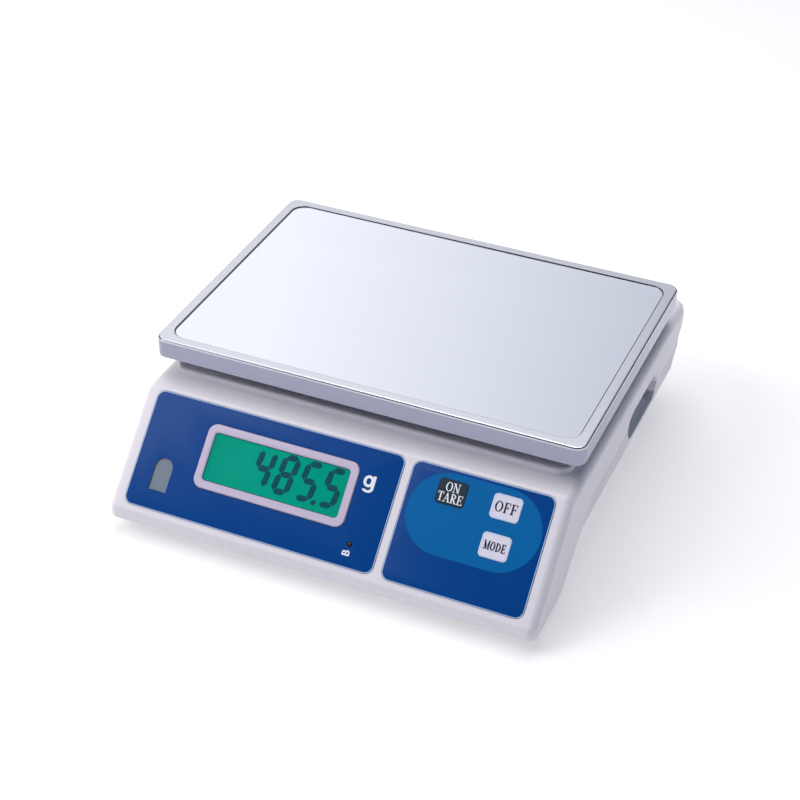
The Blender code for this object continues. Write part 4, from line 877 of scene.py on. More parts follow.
@dataclass(frozen=True)
class RolledMetal(Finish):
    """Sheet or milled metal with lines along X, smears and bright edges.

    Attributes:
        fineness: How close the lines are.
        depth: Depth of the lines in metres.
        streak: How much the roughness changes between lines.
    """

    fineness: float = 900.0
    depth: float = 0.000004
    streak: float = 0.12

    def dress(self, tree: bpy.types.NodeTree, shader: bpy.types.Node) -> None:
        """Add lines, streaks, smears and edges.

        Args:
            tree: The material's tree.
            shader: Its shader.
        """
        lines = self.effect(tree, "brushed_grain", Fineness=self.fineness)
        marks = self.effect(tree, "fine_marks", Amount=0.2, Scale=14.0)
        wear = self.effect(tree, "edge_wear", Width=0.0005, Amount=0.5)
        body = self.mix_colour(tree, shader, self.tint(0.96), self.colour, lines.outputs["Streak"])
        self.mix_colour(tree, shader, body, self.tint(1.1), wear.outputs["Mask"])
        uneven = math_node(tree, "ADD", lines.outputs["Height"], marks.outputs["Mask"])
        self.roughen(tree, shader, uneven, self.streak)
        self.bump(tree, shader, lines.outputs["Height"], self.depth, 0.2)


@dataclass(frozen=True)
class CastMetal(Finish):
    """Cast metal with a rough skin and machined edges."""

    def dress(self, tree: bpy.types.NodeTree, shader: bpy.types.Node) -> None:
        """Add a cast skin and bright edges.

        Args:
            tree: The material's tree.
            shader: Its shader.
        """
        grain = self.effect(tree, "moulded_grain", Fineness=700.0, Spread=25.0)
        wear = self.effect(tree, "edge_wear", Width=0.0007, Amount=0.8)
        body = self.mix_colour(tree, shader, self.tint(0.85), self.colour, grain.outputs["Tone"])
        self.mix_colour(tree, shader, body, self.tint(1.25), wear.outputs["Mask"])
        self.roughen(tree, shader, grain.outputs["Height"], 0.2)
        self.bump(tree, shader, grain.outputs["Height"], 0.00006, 0.5)


@dataclass(frozen=True)
class PrintedFilm(Finish):
    """Printed polyester film: even colour, a very fine satin and faint smears."""

    def dress(self, tree: bpy.types.NodeTree, shader: bpy.types.Node) -> None:
        """Add the satin and the smears.

        Args:
            tree: The material's tree.
            shader: Its shader.
        """
        shader.inputs["Specular IOR Level"].default_value = 0.12
        grain = self.effect(tree, "moulded_grain", Fineness=2600.0, Spread=5.0)
        marks = self.effect(tree, "fine_marks", Amount=0.35, Scale=12.0)
        self.mix_colour(tree, shader, self.colour, self.tint(1.05), grain.outputs["Tone"])
        self.roughen(tree, shader, marks.outputs["Mask"], 0.18)
        self.bump(tree, shader, grain.outputs["Height"], 0.000004, 0.2)


@dataclass(frozen=True)
class ClearGlass(Finish):
    """Clear or slightly frosted pane.

    Attributes:
        passing: How much light passes through.
    """

    passing: float = 1.0

    def dress(self, tree: bpy.types.NodeTree, shader: bpy.types.Node) -> None:
        """Let light through and add faint smears.

        Args:
            tree: The material's tree.
            shader: Its shader.
        """
        shader.inputs["Transmission Weight"].default_value = self.passing
        shader.inputs["IOR"].default_value = 1.04
        marks = self.effect(tree, "fine_marks", Amount=0.3, Scale=30.0)
        self.roughen(tree, shader, marks.outputs["Mask"], 0.03)


@dataclass(frozen=True)
class LitSurface(Finish):
    """A surface that glows by itself, brighter in its middle.

    Attributes:
        glow: Strength of its light.
        centre: Middle of the bright patch.
        reach: Half size of the bright patch.
        rim: Colour far from the middle.
    """

    glow: float = 1.0
    centre: Triple = (0.0, 0.0, 0.0)
    reach: float = 0.06
    rim: Triple = (0.0, 0.2, 0.15)

    def dress(self, tree: bpy.types.NodeTree, shader: bpy.types.Node) -> None:
        """Add the glow and its falling off.

        Args:
            tree: The material's tree.
            shader: Its shader.
        """
        where = tree.nodes.new("ShaderNodeTexCoord")
        span = tree.nodes.new("ShaderNodeVectorMath")
        span.operation = "DISTANCE"
        span.inputs[1].default_value = self.centre
        feed(tree, where.outputs["Object"], span.inputs[0])
        far = math_node(tree, "DIVIDE", span.outputs["Value"], self.reach, clamp=True)
        fall = math_node(tree, "POWER", far, 1.6)
        mixed = self.mix_colour(tree, shader, self.colour, self.rim, fall)
        feed(tree, mixed, shader.inputs["Emission Color"])
        shader.inputs["Emission Strength"].default_value = self.glow
        shader.inputs["Specular IOR Level"].default_value = 0.05
        shader.inputs["Base Color"].default_value = (0.0, 0.0, 0.0, 1.0)
        for link in list(shader.inputs["Base Color"].links):
            tree.links.remove(link)


@dataclass(frozen=True)
class BoardFinish(Finish):
    """A circuit board: solder resist below a height and component plastic above it.

    Attributes:
        level: Height of the board's upper face.
        parts: Colour of what stands on it.
    """

    level: float = 0.0
    parts: Triple = (0.015, 0.015, 0.017)

    def dress(self, tree: bpy.types.NodeTree, shader: bpy.types.Node) -> None:
        """Add tracks, resist and parts.

        Args:
            tree: The material's tree.
            shader: Its shader.
        """
        cells = tree.nodes.new("ShaderNodeTexBrick")
        cells.inputs["Scale"].default_value = 180.0
        cells.inputs["Mortar Size"].default_value = 0.06
        for label, factor in (("Color1", 1.0), ("Color2", 0.7), ("Mortar", 1.8)):
            cells.inputs[label].default_value = (*self.tint(factor), 1.0)
        feed(tree, object_point(tree), cells.inputs["Vector"])
        band = self.effect(tree, "height_band", Level=self.level)
        self.mix_colour(tree, shader, cells.outputs["Color"], self.parts, band.outputs["Mask"])
        self.bump(tree, shader, cells.outputs["Fac"], 0.00003, 0.3)


@dataclass(frozen=True)
class PaleFloor(Finish):
    """A lit paper floor that stays pale in the shade."""

    def dress(self, tree: bpy.types.NodeTree, shader: bpy.types.Node) -> None:
        """Add a paper grain and a faint light of its own.

        Args:
            tree: The material's tree.
            shader: Its shader.
        """
        super().dress(tree, shader)
        shader.inputs["Emission Color"].default_value = (1.0, 1.0, 1.0, 1.0)
        shader.inputs["Emission Strength"].default_value = 0.34


WHITE_SHELL = MouldedPlastic("white_shell", (0.815, 0.775, 0.815), 0.36, slot="white_plastic")
WHITE_BASE = MouldedPlastic(
    "white_base", (0.78, 0.75, 0.79), 0.45, slot="white_plastic", grain=900.0, depth=0.00004
)
PAN_MIRROR = RolledMetal(
    "pan_mirror", (0.83, 0.845, 0.9), 0.02, 1.0, "mirror_steel", 1400.0, 0.0000001, 0.02
)
PAN_RIM = RolledMetal("pan_rim", (0.68, 0.68, 0.715), 0.3, 1.0, "mirror_steel", 1000.0, 0.0000008, 0.08)
# Same steel as the rim, painted darker: painted shade on the upright skirt.
PAN_SKIRT_PAINTED_SHADE = RolledMetal("pan_skirt_painted_shade", (0.33, 0.34, 0.44), 0.16, 1.0, "mirror_steel", 1000.0, 0.000002, 0.1)
# Painted dark reflection: a dark copy of the steel for the middle of the top fold and the dish step walls.
PAN_PAINTED_REFLECTION = RolledMetal("pan_painted_reflection", (0.16, 0.165, 0.21), 0.22, 1.0, "mirror_steel", 900.0, 0.000002, 0.1)
ZINC = RolledMetal("zinc_plate", (0.6, 0.61, 0.64), 0.32, 1.0, "zinc_steel")
CAST = CastMetal("cast_alloy", (0.62, 0.63, 0.65), 0.42, 1.0, "cast_aluminium")
MILLED = RolledMetal("milled_alloy", (0.7, 0.71, 0.73), 0.3, 1.0, "cast_aluminium", 500.0, 0.00001, 0.2)
RUBBER = MouldedPlastic("soft_rubber", (0.028, 0.028, 0.03), 0.75, 0.0, "rubber", 500.0, 0.00008, 0.08)
DARK_MOULDING = MouldedPlastic(
    "dark_moulding", (0.022, 0.022, 0.024), 0.45, 0.0, "black_plastic", 700.0, 0.00006, 0.12
)
GREY_MOULDING = MouldedPlastic("grey_moulding", (0.4, 0.4, 0.42), 0.5, 0.0, "grey_plastic")
BATTERY_CASE = MouldedPlastic("battery_case", (0.1, 0.1, 0.11), 0.5, 0.0, "battery_grey", 600.0)
CABLE_SHEATH = MouldedPlastic(
    "cable_sheath", (0.45, 0.45, 0.46), 0.5, 0.0, "grey_plastic", 800.0, 0.00003, 0.0
)
LEAD_SHEATH = MouldedPlastic(
    "lead_sheath", (0.02, 0.02, 0.022), 0.45, 0.0, "black_plastic", 800.0, 0.00003, 0.0
)
DEEP_BLUE = PrintedFilm("deep_blue_film", (0.0, 0.053, 0.245), 0.3, 0.0, "blue_film")
FIELD_BLUE = PrintedFilm("field_blue_ink", (0.0, 0.125, 0.365), 0.32, 0.0, "blue_film")
PALE_LINE = PrintedFilm("pale_line_ink", (0.55, 0.68, 0.9), 0.35, 0.0, "key_white")
WHITE_INK = PrintedFilm("white_ink", (0.85, 0.85, 0.88), 0.4, 0.0, "key_white")
DARK_INK = PrintedFilm("dark_ink", (0.02, 0.022, 0.04), 0.4, 0.0, "key_dark")
KEY_LIGHT = MouldedPlastic("light_key", (0.78, 0.74, 0.84), 0.32, 0.0, "key_white", 1800.0, 0.00001, 0.1)
KEY_DARK = MouldedPlastic("dark_key", (0.012, 0.028, 0.042), 0.36, 0.0, "key_dark", 1800.0, 0.00001, 0.03)
BEZEL_SILVER = MouldedPlastic(
    "bezel_silver", (0.6, 0.52, 0.66), 0.3, 0.0, "bezel_plastic", 1900.0, 0.000008, 0.2
)
PANE = ClearGlass("clear_pane", (1.0, 1.0, 1.0), 0.01, 0.0, "clear_lens")
LEVEL_PANE = ClearGlass("level_pane", (0.5, 0.57, 0.66), 0.1, 0.0, "clear_lens", 0.62)
LEVEL_LIQUID = ClearGlass("level_liquid", (0.75, 0.9, 0.45), 0.02, 0.0, "level_green")
LAMP_LENS = MouldedPlastic("lamp_lens", (0.05, 0.012, 0.02), 0.15, 0.0, "led_red", 900.0, 0.00001, 0.0)
SEGMENT_DARK = LitSurface(
    "segment_dark",
    (0.006, 0.07, 0.09),
    0.3,
    0.0,
    "lcd_green",
    1.0,
    (-0.02, -0.1, 0.05),
    0.2,
    (0.004, 0.07, 0.09),
)
PIPE_WHITE = Finish("light_spreader", (0.8, 0.82, 0.85), 0.3, 0.0, "key_white")
CELL_LABEL = PrintedFilm("sealing_strip", (0.75, 0.75, 0.72), 0.5, 0.0, "grey_plastic")


def put_on(
    thing: bpy.types.Object,
    finishes: Sequence[Finish],
    body: str,
    replaces: Sequence[str] = (),
    smooth: float = 32.0,
    weighted: bool = False,
    bend: tuple[Vector, Vector] | None = None,
) -> bpy.types.Object:
    """Dress a finished piece, let it ride on its body and report it.

    Args:
        thing: The piece, at the origin.
        finishes: Its finishes, in the order of its material indices.
        body: The CAD body it rides on.
        replaces: CAD nodes that it stands for.
        smooth: Edges flatter than this many degrees are shaded smooth.
        weighted: Whether large faces hold their own shading.
        bend: Where a bend between the housing and the platform starts and ends; when given, the piece is
            baked in place instead of riding on its body, and the two places are not read.

    Returns:
        The piece.
    """
    for finish in finishes:
        thing.data.materials.append(finish.material())
    thing.data.shade_smooth()
    thing.data.set_sharp_from_angle(angle=math.radians(smooth))
    if weighted:
        step = thing.modifiers.new("even_shading", "WEIGHTED_NORMAL")
        step.keep_sharp = True
        step.weight = 80
        settle(thing)
    if bend:
        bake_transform(thing)
    else:
        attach(thing, body)
    if replaces:
        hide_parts(*replaces)
    LOG.info("%s: %d faces, on %s", thing.name, len(thing.data.polygons), body)
    return thing


def dress_nodes(finish: Finish, *nodes: str) -> None:
    """Give carried-over CAD nodes their finish.

    Args:
        finish: What they are made of.
        *nodes: Names of the nodes.
    """
    for node in nodes:
        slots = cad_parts[node].data.materials
        slots.clear()
        slots.append(finish.material())
        LOG.info("%s: CAD shape kept, %s", node, finish.name)


# ---------------------------------------------------------------- places on the sloped panel
@dataclass
class Panel:
    """The sloped front. Places on it are across, down the slope and out from its face.

    Attributes:
        slope: Angle of the panel in radians.
        print_height: How far the printed film stands out.
    """

    slope: float = math.radians(44.4)
    print_height: float = 0.3 * MM
    origin: Vector = field(init=False)

    def __post_init__(self) -> None:
        """Find the top edge from the display film's box."""
        low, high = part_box("display_overlay")
        out = self.print_height
        self.origin = Vector(
            (0.0, high.y - out * math.sin(self.slope), high.z - out * math.cos(self.slope))
        )

    def matrix(self) -> Matrix:
        """The matrix from panel places to the world."""
        return Matrix.Translation(self.origin) @ Matrix.Rotation(self.slope, 4, "X")

    def place(self, thing: bpy.types.Object) -> bpy.types.Object:
        """Carry a mesh that was made flat onto the panel and give it back."""
        thing.data.transform(self.matrix())
        return thing

    def plate(self, name: str, centre: Pair, shape: Plate) -> bpy.types.Object:
        """Make a plate on the panel.

        Args:
            name: Name of the new object.
            centre: Across and down the slope.
            shape: The plate, whose heights are out from the face.

        Returns:
            The plate in its place.
        """
        return self.place(to_object(name, shape.build((centre[0], -centre[1]))))

    def stud(self, name: str, centre: Pair, radius: float, low: float, high: float) -> bpy.types.Object:
        """Make a round bar square to the panel."""
        return self.place(to_object(name, bar(radius, low, high, (centre[0], -centre[1]))))

    def words(
        self,
        name: str,
        words: str,
        centre: Pair,
        size: float,
        low: float,
        turn: float = 0.0,
        wide: float = 1.0,
        bold: float = 0.0,
    ) -> bpy.types.Object:
        """Lay lettering on the panel.

        Args:
            name: Name of the new object.
            words: What it says.
            centre: Across and down the slope.
            size: Height of the line.
            low: Height of its underside.
            turn: Turn in degrees.
            wide: Stretch along the line.
            bold: How much wider each stroke is on either side.

        Returns:
            The lettering in its place.
        """
        thing = lettering(name, words, size, INK, bold)
        thing.data.transform(Matrix.Diagonal((wide, 1.0, 1.0, 1.0)))
        thing.data.transform(Matrix.Rotation(math.radians(turn), 4, "Z"))
        thing.data.transform(Matrix.Translation((centre[0], -centre[1], low)))
        return self.place(thing)


# ---------------------------------------------------------------- housing
@dataclass
class Housing:
    """Upper and lower shells with the plateau under the pan and the two finger grips.

    Attributes:
        panel: The sloped front.
        wall: Thickness of the walls.
        gap: Clearance between touching pieces.
        edge: Radius of the long edges.
        rear_corner: Radius of the rear corners.
        crown: Radius between the deck and the rear wall.
        fold: Radius between the deck and the panel.
        lip: Radius between the panel and the front wall.
    """

    panel: Panel
    wall: float = 2.5 * MM
    gap: float = 0.3 * MM
    edge: float = 6 * MM
    rear_corner: float = 16 * MM
    crown: float = 10 * MM
    fold: float = 4 * MM
    lip: float = 5 * MM
    lip_height: float = 17 * MM
    deck: float = 73 * MM
    knee: float = 54 * MM
    rake: float = 0.95
    parting: float = 46.5 * MM
    leg_length: float = 44 * MM
    leg_angle: float = math.radians(35.1)
    reach: float = 40 * MM

    def __post_init__(self) -> None:
        """Take the outer sizes from the CAD shells."""
        low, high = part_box("top_housing")
        self.half_width: float = high.x
        self.half_depth: float = high.y
        self.bottom: float = low.z
        self.plateau_top: float = high.z
        self.fold_y: float = -self.half_depth + (self.deck - self.lip_height) / math.tan(self.panel.slope)

    def build(self) -> None:
        """Make both shells."""
        self.upper()
        self.lower()

    def section(self, bm: bmesh.types.BMesh, x: float, inset: float, steps: int) -> list[bmesh.types.BMEdge]:
        """Add the outline of the body at one place across its width.

        Args:
            bm: The mesh it goes into.
            x: Place across the width.
            inset: How far inside the outer surface it lies.
            steps: Steps in each rounded corner.

        Returns:
            The edges of the closed outline.
        """
        depth, low = self.half_depth, -self.reach
        shape = (
            (-depth, low),
            (-depth, self.lip_height),
            (self.fold_y, self.deck),
            (depth, self.deck),
            (depth, self.knee),
            (depth - (self.knee - low) * self.rake, low),
        )
        half = self.half_width - inset
        top = inset + self.drawn_in(abs(x), half, self.edge - inset)
        rear = inset + self.drawn_in(abs(x), half, self.rear_corner - inset)
        crown = self.crown - inset - 0.4 * (rear - inset)
        insets = (top, top, top, rear, rear, -inset)
        radii = (self.gap, self.lip, self.fold, crown, 2 * self.wall, self.gap)
        sides = []
        for index, spot in enumerate(shape):
            start = Vector(spot)
            along = (Vector(shape[(index + 1) % 6]) - start).normalized()
            sides.append((start + Vector((along.y, -along.x)) * insets[index], along))
        corners = []
        for index in range(6):
            before, first = sides[index - 1]
            here, second = sides[index]
            offset = here - before
            cross = first.x * second.y - first.y * second.x
            spot = before + first * ((offset.x * second.y - offset.y * second.x) / cross)
            corners.append((spot, math.acos(max(-1.0, min(1.0, first.dot(second))))))
        points = [bm.verts.new((x, spot.x, spot.y)) for spot, _ in corners]
        bm.faces.new(points)
        for point, (_, turn), radius in zip(points, corners, radii):
            bmesh.ops.bevel(
                bm,
                geom=[point],
                offset=radius * math.tan(turn / 2),
                offset_type="OFFSET",
                segments=steps,
                profile=0.5,
                affect="VERTICES",
                material=-1,
            )
        return [e for e in bm.edges if all(abs(v.co.x - x) < 1e-7 for v in e.verts)]

    @staticmethod
    def drawn_in(x: float, half: float, radius: float) -> float:
        """How far a rounded edge has drawn in at a place across the width."""
        past = min(max(0.0, x - (half - radius)), radius)
        return radius - math.sqrt(radius * radius - past * past)

    def body(self, name: str, inset: float, steps: int = 6) -> bpy.types.Object:
        """Make the body's form from outlines side by side.

        Args:
            name: Name of the new object.
            inset: How far inside the outer surface it lies.
            steps: Steps in each rounded corner.

        Returns:
            The closed form.
        """
        half = self.half_width - inset
        edge, corner = self.edge - inset, self.rear_corner - inset
        places = {round(half - corner + corner * math.sin(k * math.pi / 20), 9) for k in range(11)}
        places |= {round(half - edge + edge * math.sin(k * math.pi / 12), 9) for k in range(1, 6)}
        ordered = sorted(places)
        bm = bmesh.new()
        rings = [self.section(bm, x, inset, steps) for x in [-p for p in reversed(ordered)] + ordered]
        ends = {-ordered[-1], ordered[-1]}
        inner = [f for f in bm.faces if min(abs(f.verts[0].co.x - end) for end in ends) > 1e-7]
        bmesh.ops.delete(bm, geom=inner, context="FACES_ONLY")
        for first, second in zip(rings, rings[1:]):
            bmesh.ops.bridge_loops(bm, edges=first + second)
        bmesh.ops.recalc_face_normals(bm, faces=bm.faces)
        return to_object(name, bm)

    @staticmethod
    def wedge(name: str, outline: Sequence[Pair], start: float, end: float) -> bpy.types.Object:
        """Make a solid across the body from an outline in Y and Z.

        Args:
            name: Name of the new object.
            outline: Places in Y and Z.
            start: Place across the width where it starts.
            end: Place across the width where it ends.

        Returns:
            The closed solid.
        """
        bm = bmesh.new()
        face = bm.faces.new([bm.verts.new((start, y, z)) for y, z in outline])
        sweep = bmesh.ops.extrude_face_region(bm, geom=[face])
        moved = [item for item in sweep["geom"] if isinstance(item, bmesh.types.BMVert)]
        bmesh.ops.translate(bm, vec=(end - start, 0, 0), verts=moved)
        bmesh.ops.recalc_face_normals(bm, faces=bm.faces)
        return to_object(name, bm)

    def below_parting(self) -> bpy.types.Object:
        """Make a solid of everything under the upper shell's lower edge.

        Returns:
            The solid.
        """
        rise = self.parting - self.bottom
        leg_end = -self.half_depth + self.leg_length
        far = self.half_depth + self.reach
        side = self.half_width + self.reach
        return self.wedge(
            "below_parting",
            (
                (-far, -2 * self.reach),
                (-far, self.bottom),
                (leg_end, self.bottom),
                (leg_end + rise / math.tan(self.leg_angle), self.parting),
                (far, self.parting),
                (far, -2 * self.reach),
            ),
            -side,
            side,
        )

    def leg_web(self, side: int) -> bpy.types.Object:
        """Make the web that closes the corner between a leg and the lower shell's raked side.

        Args:
            side: 1 for the right and -1 for the left.

        Returns:
            The web, which lies just above the leg's sloped edge.
        """
        leg_end = -self.half_depth + self.leg_length
        out = Vector((-math.sin(self.leg_angle), math.cos(self.leg_angle)))
        line = [
            Vector((leg_end + (height - self.bottom) / math.tan(self.leg_angle), height))
            for height in (12.2 * MM, 36 * MM)
        ]
        near = [spot + out * self.gap / 2 for spot in line]
        far = [spot + out * self.wall * 0.8 for spot in reversed(line)]
        ends = (self.half_width - 22 * MM, self.half_width - self.wall / 2)
        outline = [(spot.x, spot.y) for spot in near + far]
        return self.wedge(f"leg_web_{side}", outline, side * ends[0], side * ends[1])

    def grip(self, side: int, low: float, high: float) -> tuple[bpy.types.Object, bpy.types.Object]:
        """Make one grip's backing and its hollow.

        Args:
            side: 1 for the right and -1 for the left.
            low: Lowest height of the backing.
            high: Greatest height of the backing.

        Returns:
            The backing to add and the hollow to cut.
        """
        middle_y = self.half_depth - 101 * MM
        middle_z = (56.5 + 38) / 2 * MM
        depth = 7 * MM
        backing = Plate(depth + self.wall / 2, 65 * MM, low, high)
        centre_x = side * (self.half_width - (depth + self.wall * 1.5) / 2)
        wall = to_object(f"grip_wall_{side}", backing.build((centre_x, middle_y)))
        slot_form = Plate(
            18.5 * MM, 60 * MM, 0.0, self.reach + depth, 9.24 * MM, bottom_edge=1.5 * MM, segments=16
        )
        turn = Matrix.Rotation(side * math.pi / 2, 4, "Y")
        place = Matrix.Translation((side * (self.half_width - depth), middle_y, middle_z))
        hollow = to_object(f"grip_hollow_{side}", move(slot_form.build(), place @ turn))
        mouth_form = Plate(
            20.1 * MM, 61.6 * MM, depth - MM, self.reach, 10 * MM, bottom_edge=0.9 * MM, segments=16
        )
        combine(hollow, [to_object("grip_mouth", move(mouth_form.build(), place @ turn))], Join.ADD)
        return wall, hollow

    def posts(self) -> tuple[Pair, ...]:
        """Find the places of the four screw posts from the CAD screws.

        Returns:
            Middle of each post, across and back.
        """
        boxes = (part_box(f"housing_screw_{label}") for label in CORNERS)
        return tuple(((low.x + high.x) / 2, (low.y + high.y) / 2) for low, high in boxes)

    def upper(self) -> None:
        """Make the upper shell."""
        shell = self.body("upper_shell", 0.0)
        combine(shell, [self.below_parting(), self.body("shell_cavity", self.wall, 4)], Join.CUT)
        front, rear = self.fold_y + 16 * MM, self.half_depth - 34 * MM
        side, middle = self.half_width - 9 * MM, (front + rear) / 2
        raised = Plate(
            2 * side, rear - front, self.deck - self.wall / 2, self.plateau_top, 10 * MM, 1.8 * MM
        )
        under = Plate(
            2 * (side - self.wall),
            rear - front - 2 * self.wall,
            self.deck - self.reach / 4,
            self.plateau_top - self.wall,
            7.5 * MM,
        )
        combine(shell, [to_object("plateau", raised.build((0, middle)))], Join.ADD)
        combine(shell, [to_object("plateau_under", under.build((0, middle)))], Join.CUT)
        adds, cuts = self.fittings()
        combine(shell, adds, Join.ADD)
        combine(shell, cuts, Join.CUT)
        put_on(shell, (WHITE_SHELL,), "housing", ("top_housing",), 30.0, True)

    def fittings(self) -> tuple[list[bpy.types.Object], list[bpy.types.Object]]:
        """Make what is moulded inside the upper shell and what is cut out of it.

        Returns:
            Solids to add and solids to cut.
        """
        adds, cuts = [], []
        for side in (-1, 1):
            wall, hollow = self.grip(side, self.parting, 59 * MM)
            adds.append(wall)
            adds.append(self.leg_web(side))
            cuts.append(hollow)
        for index, at in enumerate(self.posts()):
            adds.append(
                to_object(f"post_{index}", bar(5.5 * MM, 40.3 * MM, self.plateau_top - self.wall / 2, at))
            )
            cuts.append(to_object(f"post_bore_{index}", bar(2.2 * MM, 39 * MM, 55 * MM, at)))
        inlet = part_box("charger_inlet")
        centre = (inlet[0] + inlet[1]) / 2
        for sign in (-1, 1):
            boss = bar(2.5 * MM, 135.2 * MM, self.half_width - self.wall / 2)
            spot = Matrix.Translation((0, centre.y + sign * 10 * MM, centre.z)) @ Matrix.Rotation(
                -math.pi / 2, 4, "Y"
            )
            adds.append(to_object(f"retainer_boss_{sign}", move(boss, spot)))
        hole = bar(5.3 * MM, -self.reach / 2, self.reach / 2)
        spot = Matrix.Translation((-self.half_width, centre.y, centre.z)) @ Matrix.Rotation(
            math.pi / 2, 4, "Y"
        )
        cuts.append(to_object("inlet_hole", move(hole, spot)))
        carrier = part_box("carrier_post")
        middle = (carrier[0] + carrier[1]) / 2
        post = Plate(46 * MM, 46 * MM, self.deck - self.reach / 4, self.plateau_top + MM, 6 * MM)
        cuts.append(to_object("post_opening", post.build((middle.x, middle.y))))
        cuts.extend(self.panel_cuts())
        return adds, cuts

    def panel_cuts(self) -> list[bpy.types.Object]:
        """Make the pockets and openings in the sloped face.

        Returns:
            The solids to cut away.
        """
        cuts = []
        for node in ("display_overlay", "key_overlay"):
            low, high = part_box(node)
            centre = ((low.x + high.x) / 2, 0.5 * self.film_length(node))
            pocket = Plate(
                high.x - low.x + 0.6 * MM, 2 * centre[1] + 0.6 * MM, -0.6 * MM, 20 * MM, 5.8 * MM
            )
            cuts.append(self.panel.plate(f"pocket_{node}", centre, pocket))
        low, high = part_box("display_bezel")
        centre = ((low.x + high.x) / 2, 31.6 * MM)
        opening = Plate(high.x - low.x - 3.4 * MM, 37 * MM, -self.wall - MM, MM, 4 * MM)
        cuts.append(self.panel.plate("display_opening", centre, opening))
        for key in Keypad.places():
            opening = Plate(18.8 * MM, 15.8 * MM, -self.wall - MM, MM, 2.8 * MM)
            cuts.append(self.panel.plate("key_opening", key, opening))
        cuts.append(
            self.panel.place(to_object("level_hole", SpiritLevel.arch(0.0, -self.wall - 2 * MM, MM)))
        )
        cuts.append(self.panel.stud("lamp_hole", LAMP_PLACE, 1.8 * MM, -self.wall - MM, MM))
        return cuts

    def film_length(self, node: str) -> float:
        """Work out a film's length down the slope from its box.

        Args:
            node: Name of the film's node.

        Returns:
            The length.
        """
        low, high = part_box(node)
        edges = 2 * self.panel.print_height * math.cos(self.panel.slope)
        return (high.z - low.z - edges) / math.sin(self.panel.slope)

    def lower(self) -> None:
        """Soften the edges of the lower shell's CAD form and dress it."""
        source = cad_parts["bottom_housing"].data.copy()
        bm = bmesh.new()
        bm.from_mesh(source)
        bmesh.ops.remove_doubles(bm, verts=bm.verts, dist=1e-6)
        flat = [
            e for e in bm.edges if len(e.link_faces) == 2 and e.calc_face_angle(0.0) < math.radians(0.5)
        ]
        bmesh.ops.dissolve_edges(bm, edges=flat, use_verts=False)
        shell = to_object("lower_shell", bm)
        bpy.data.meshes.remove(source)
        put_on(shell, (WHITE_BASE,), "housing", ("bottom_housing",), 30.0, True)


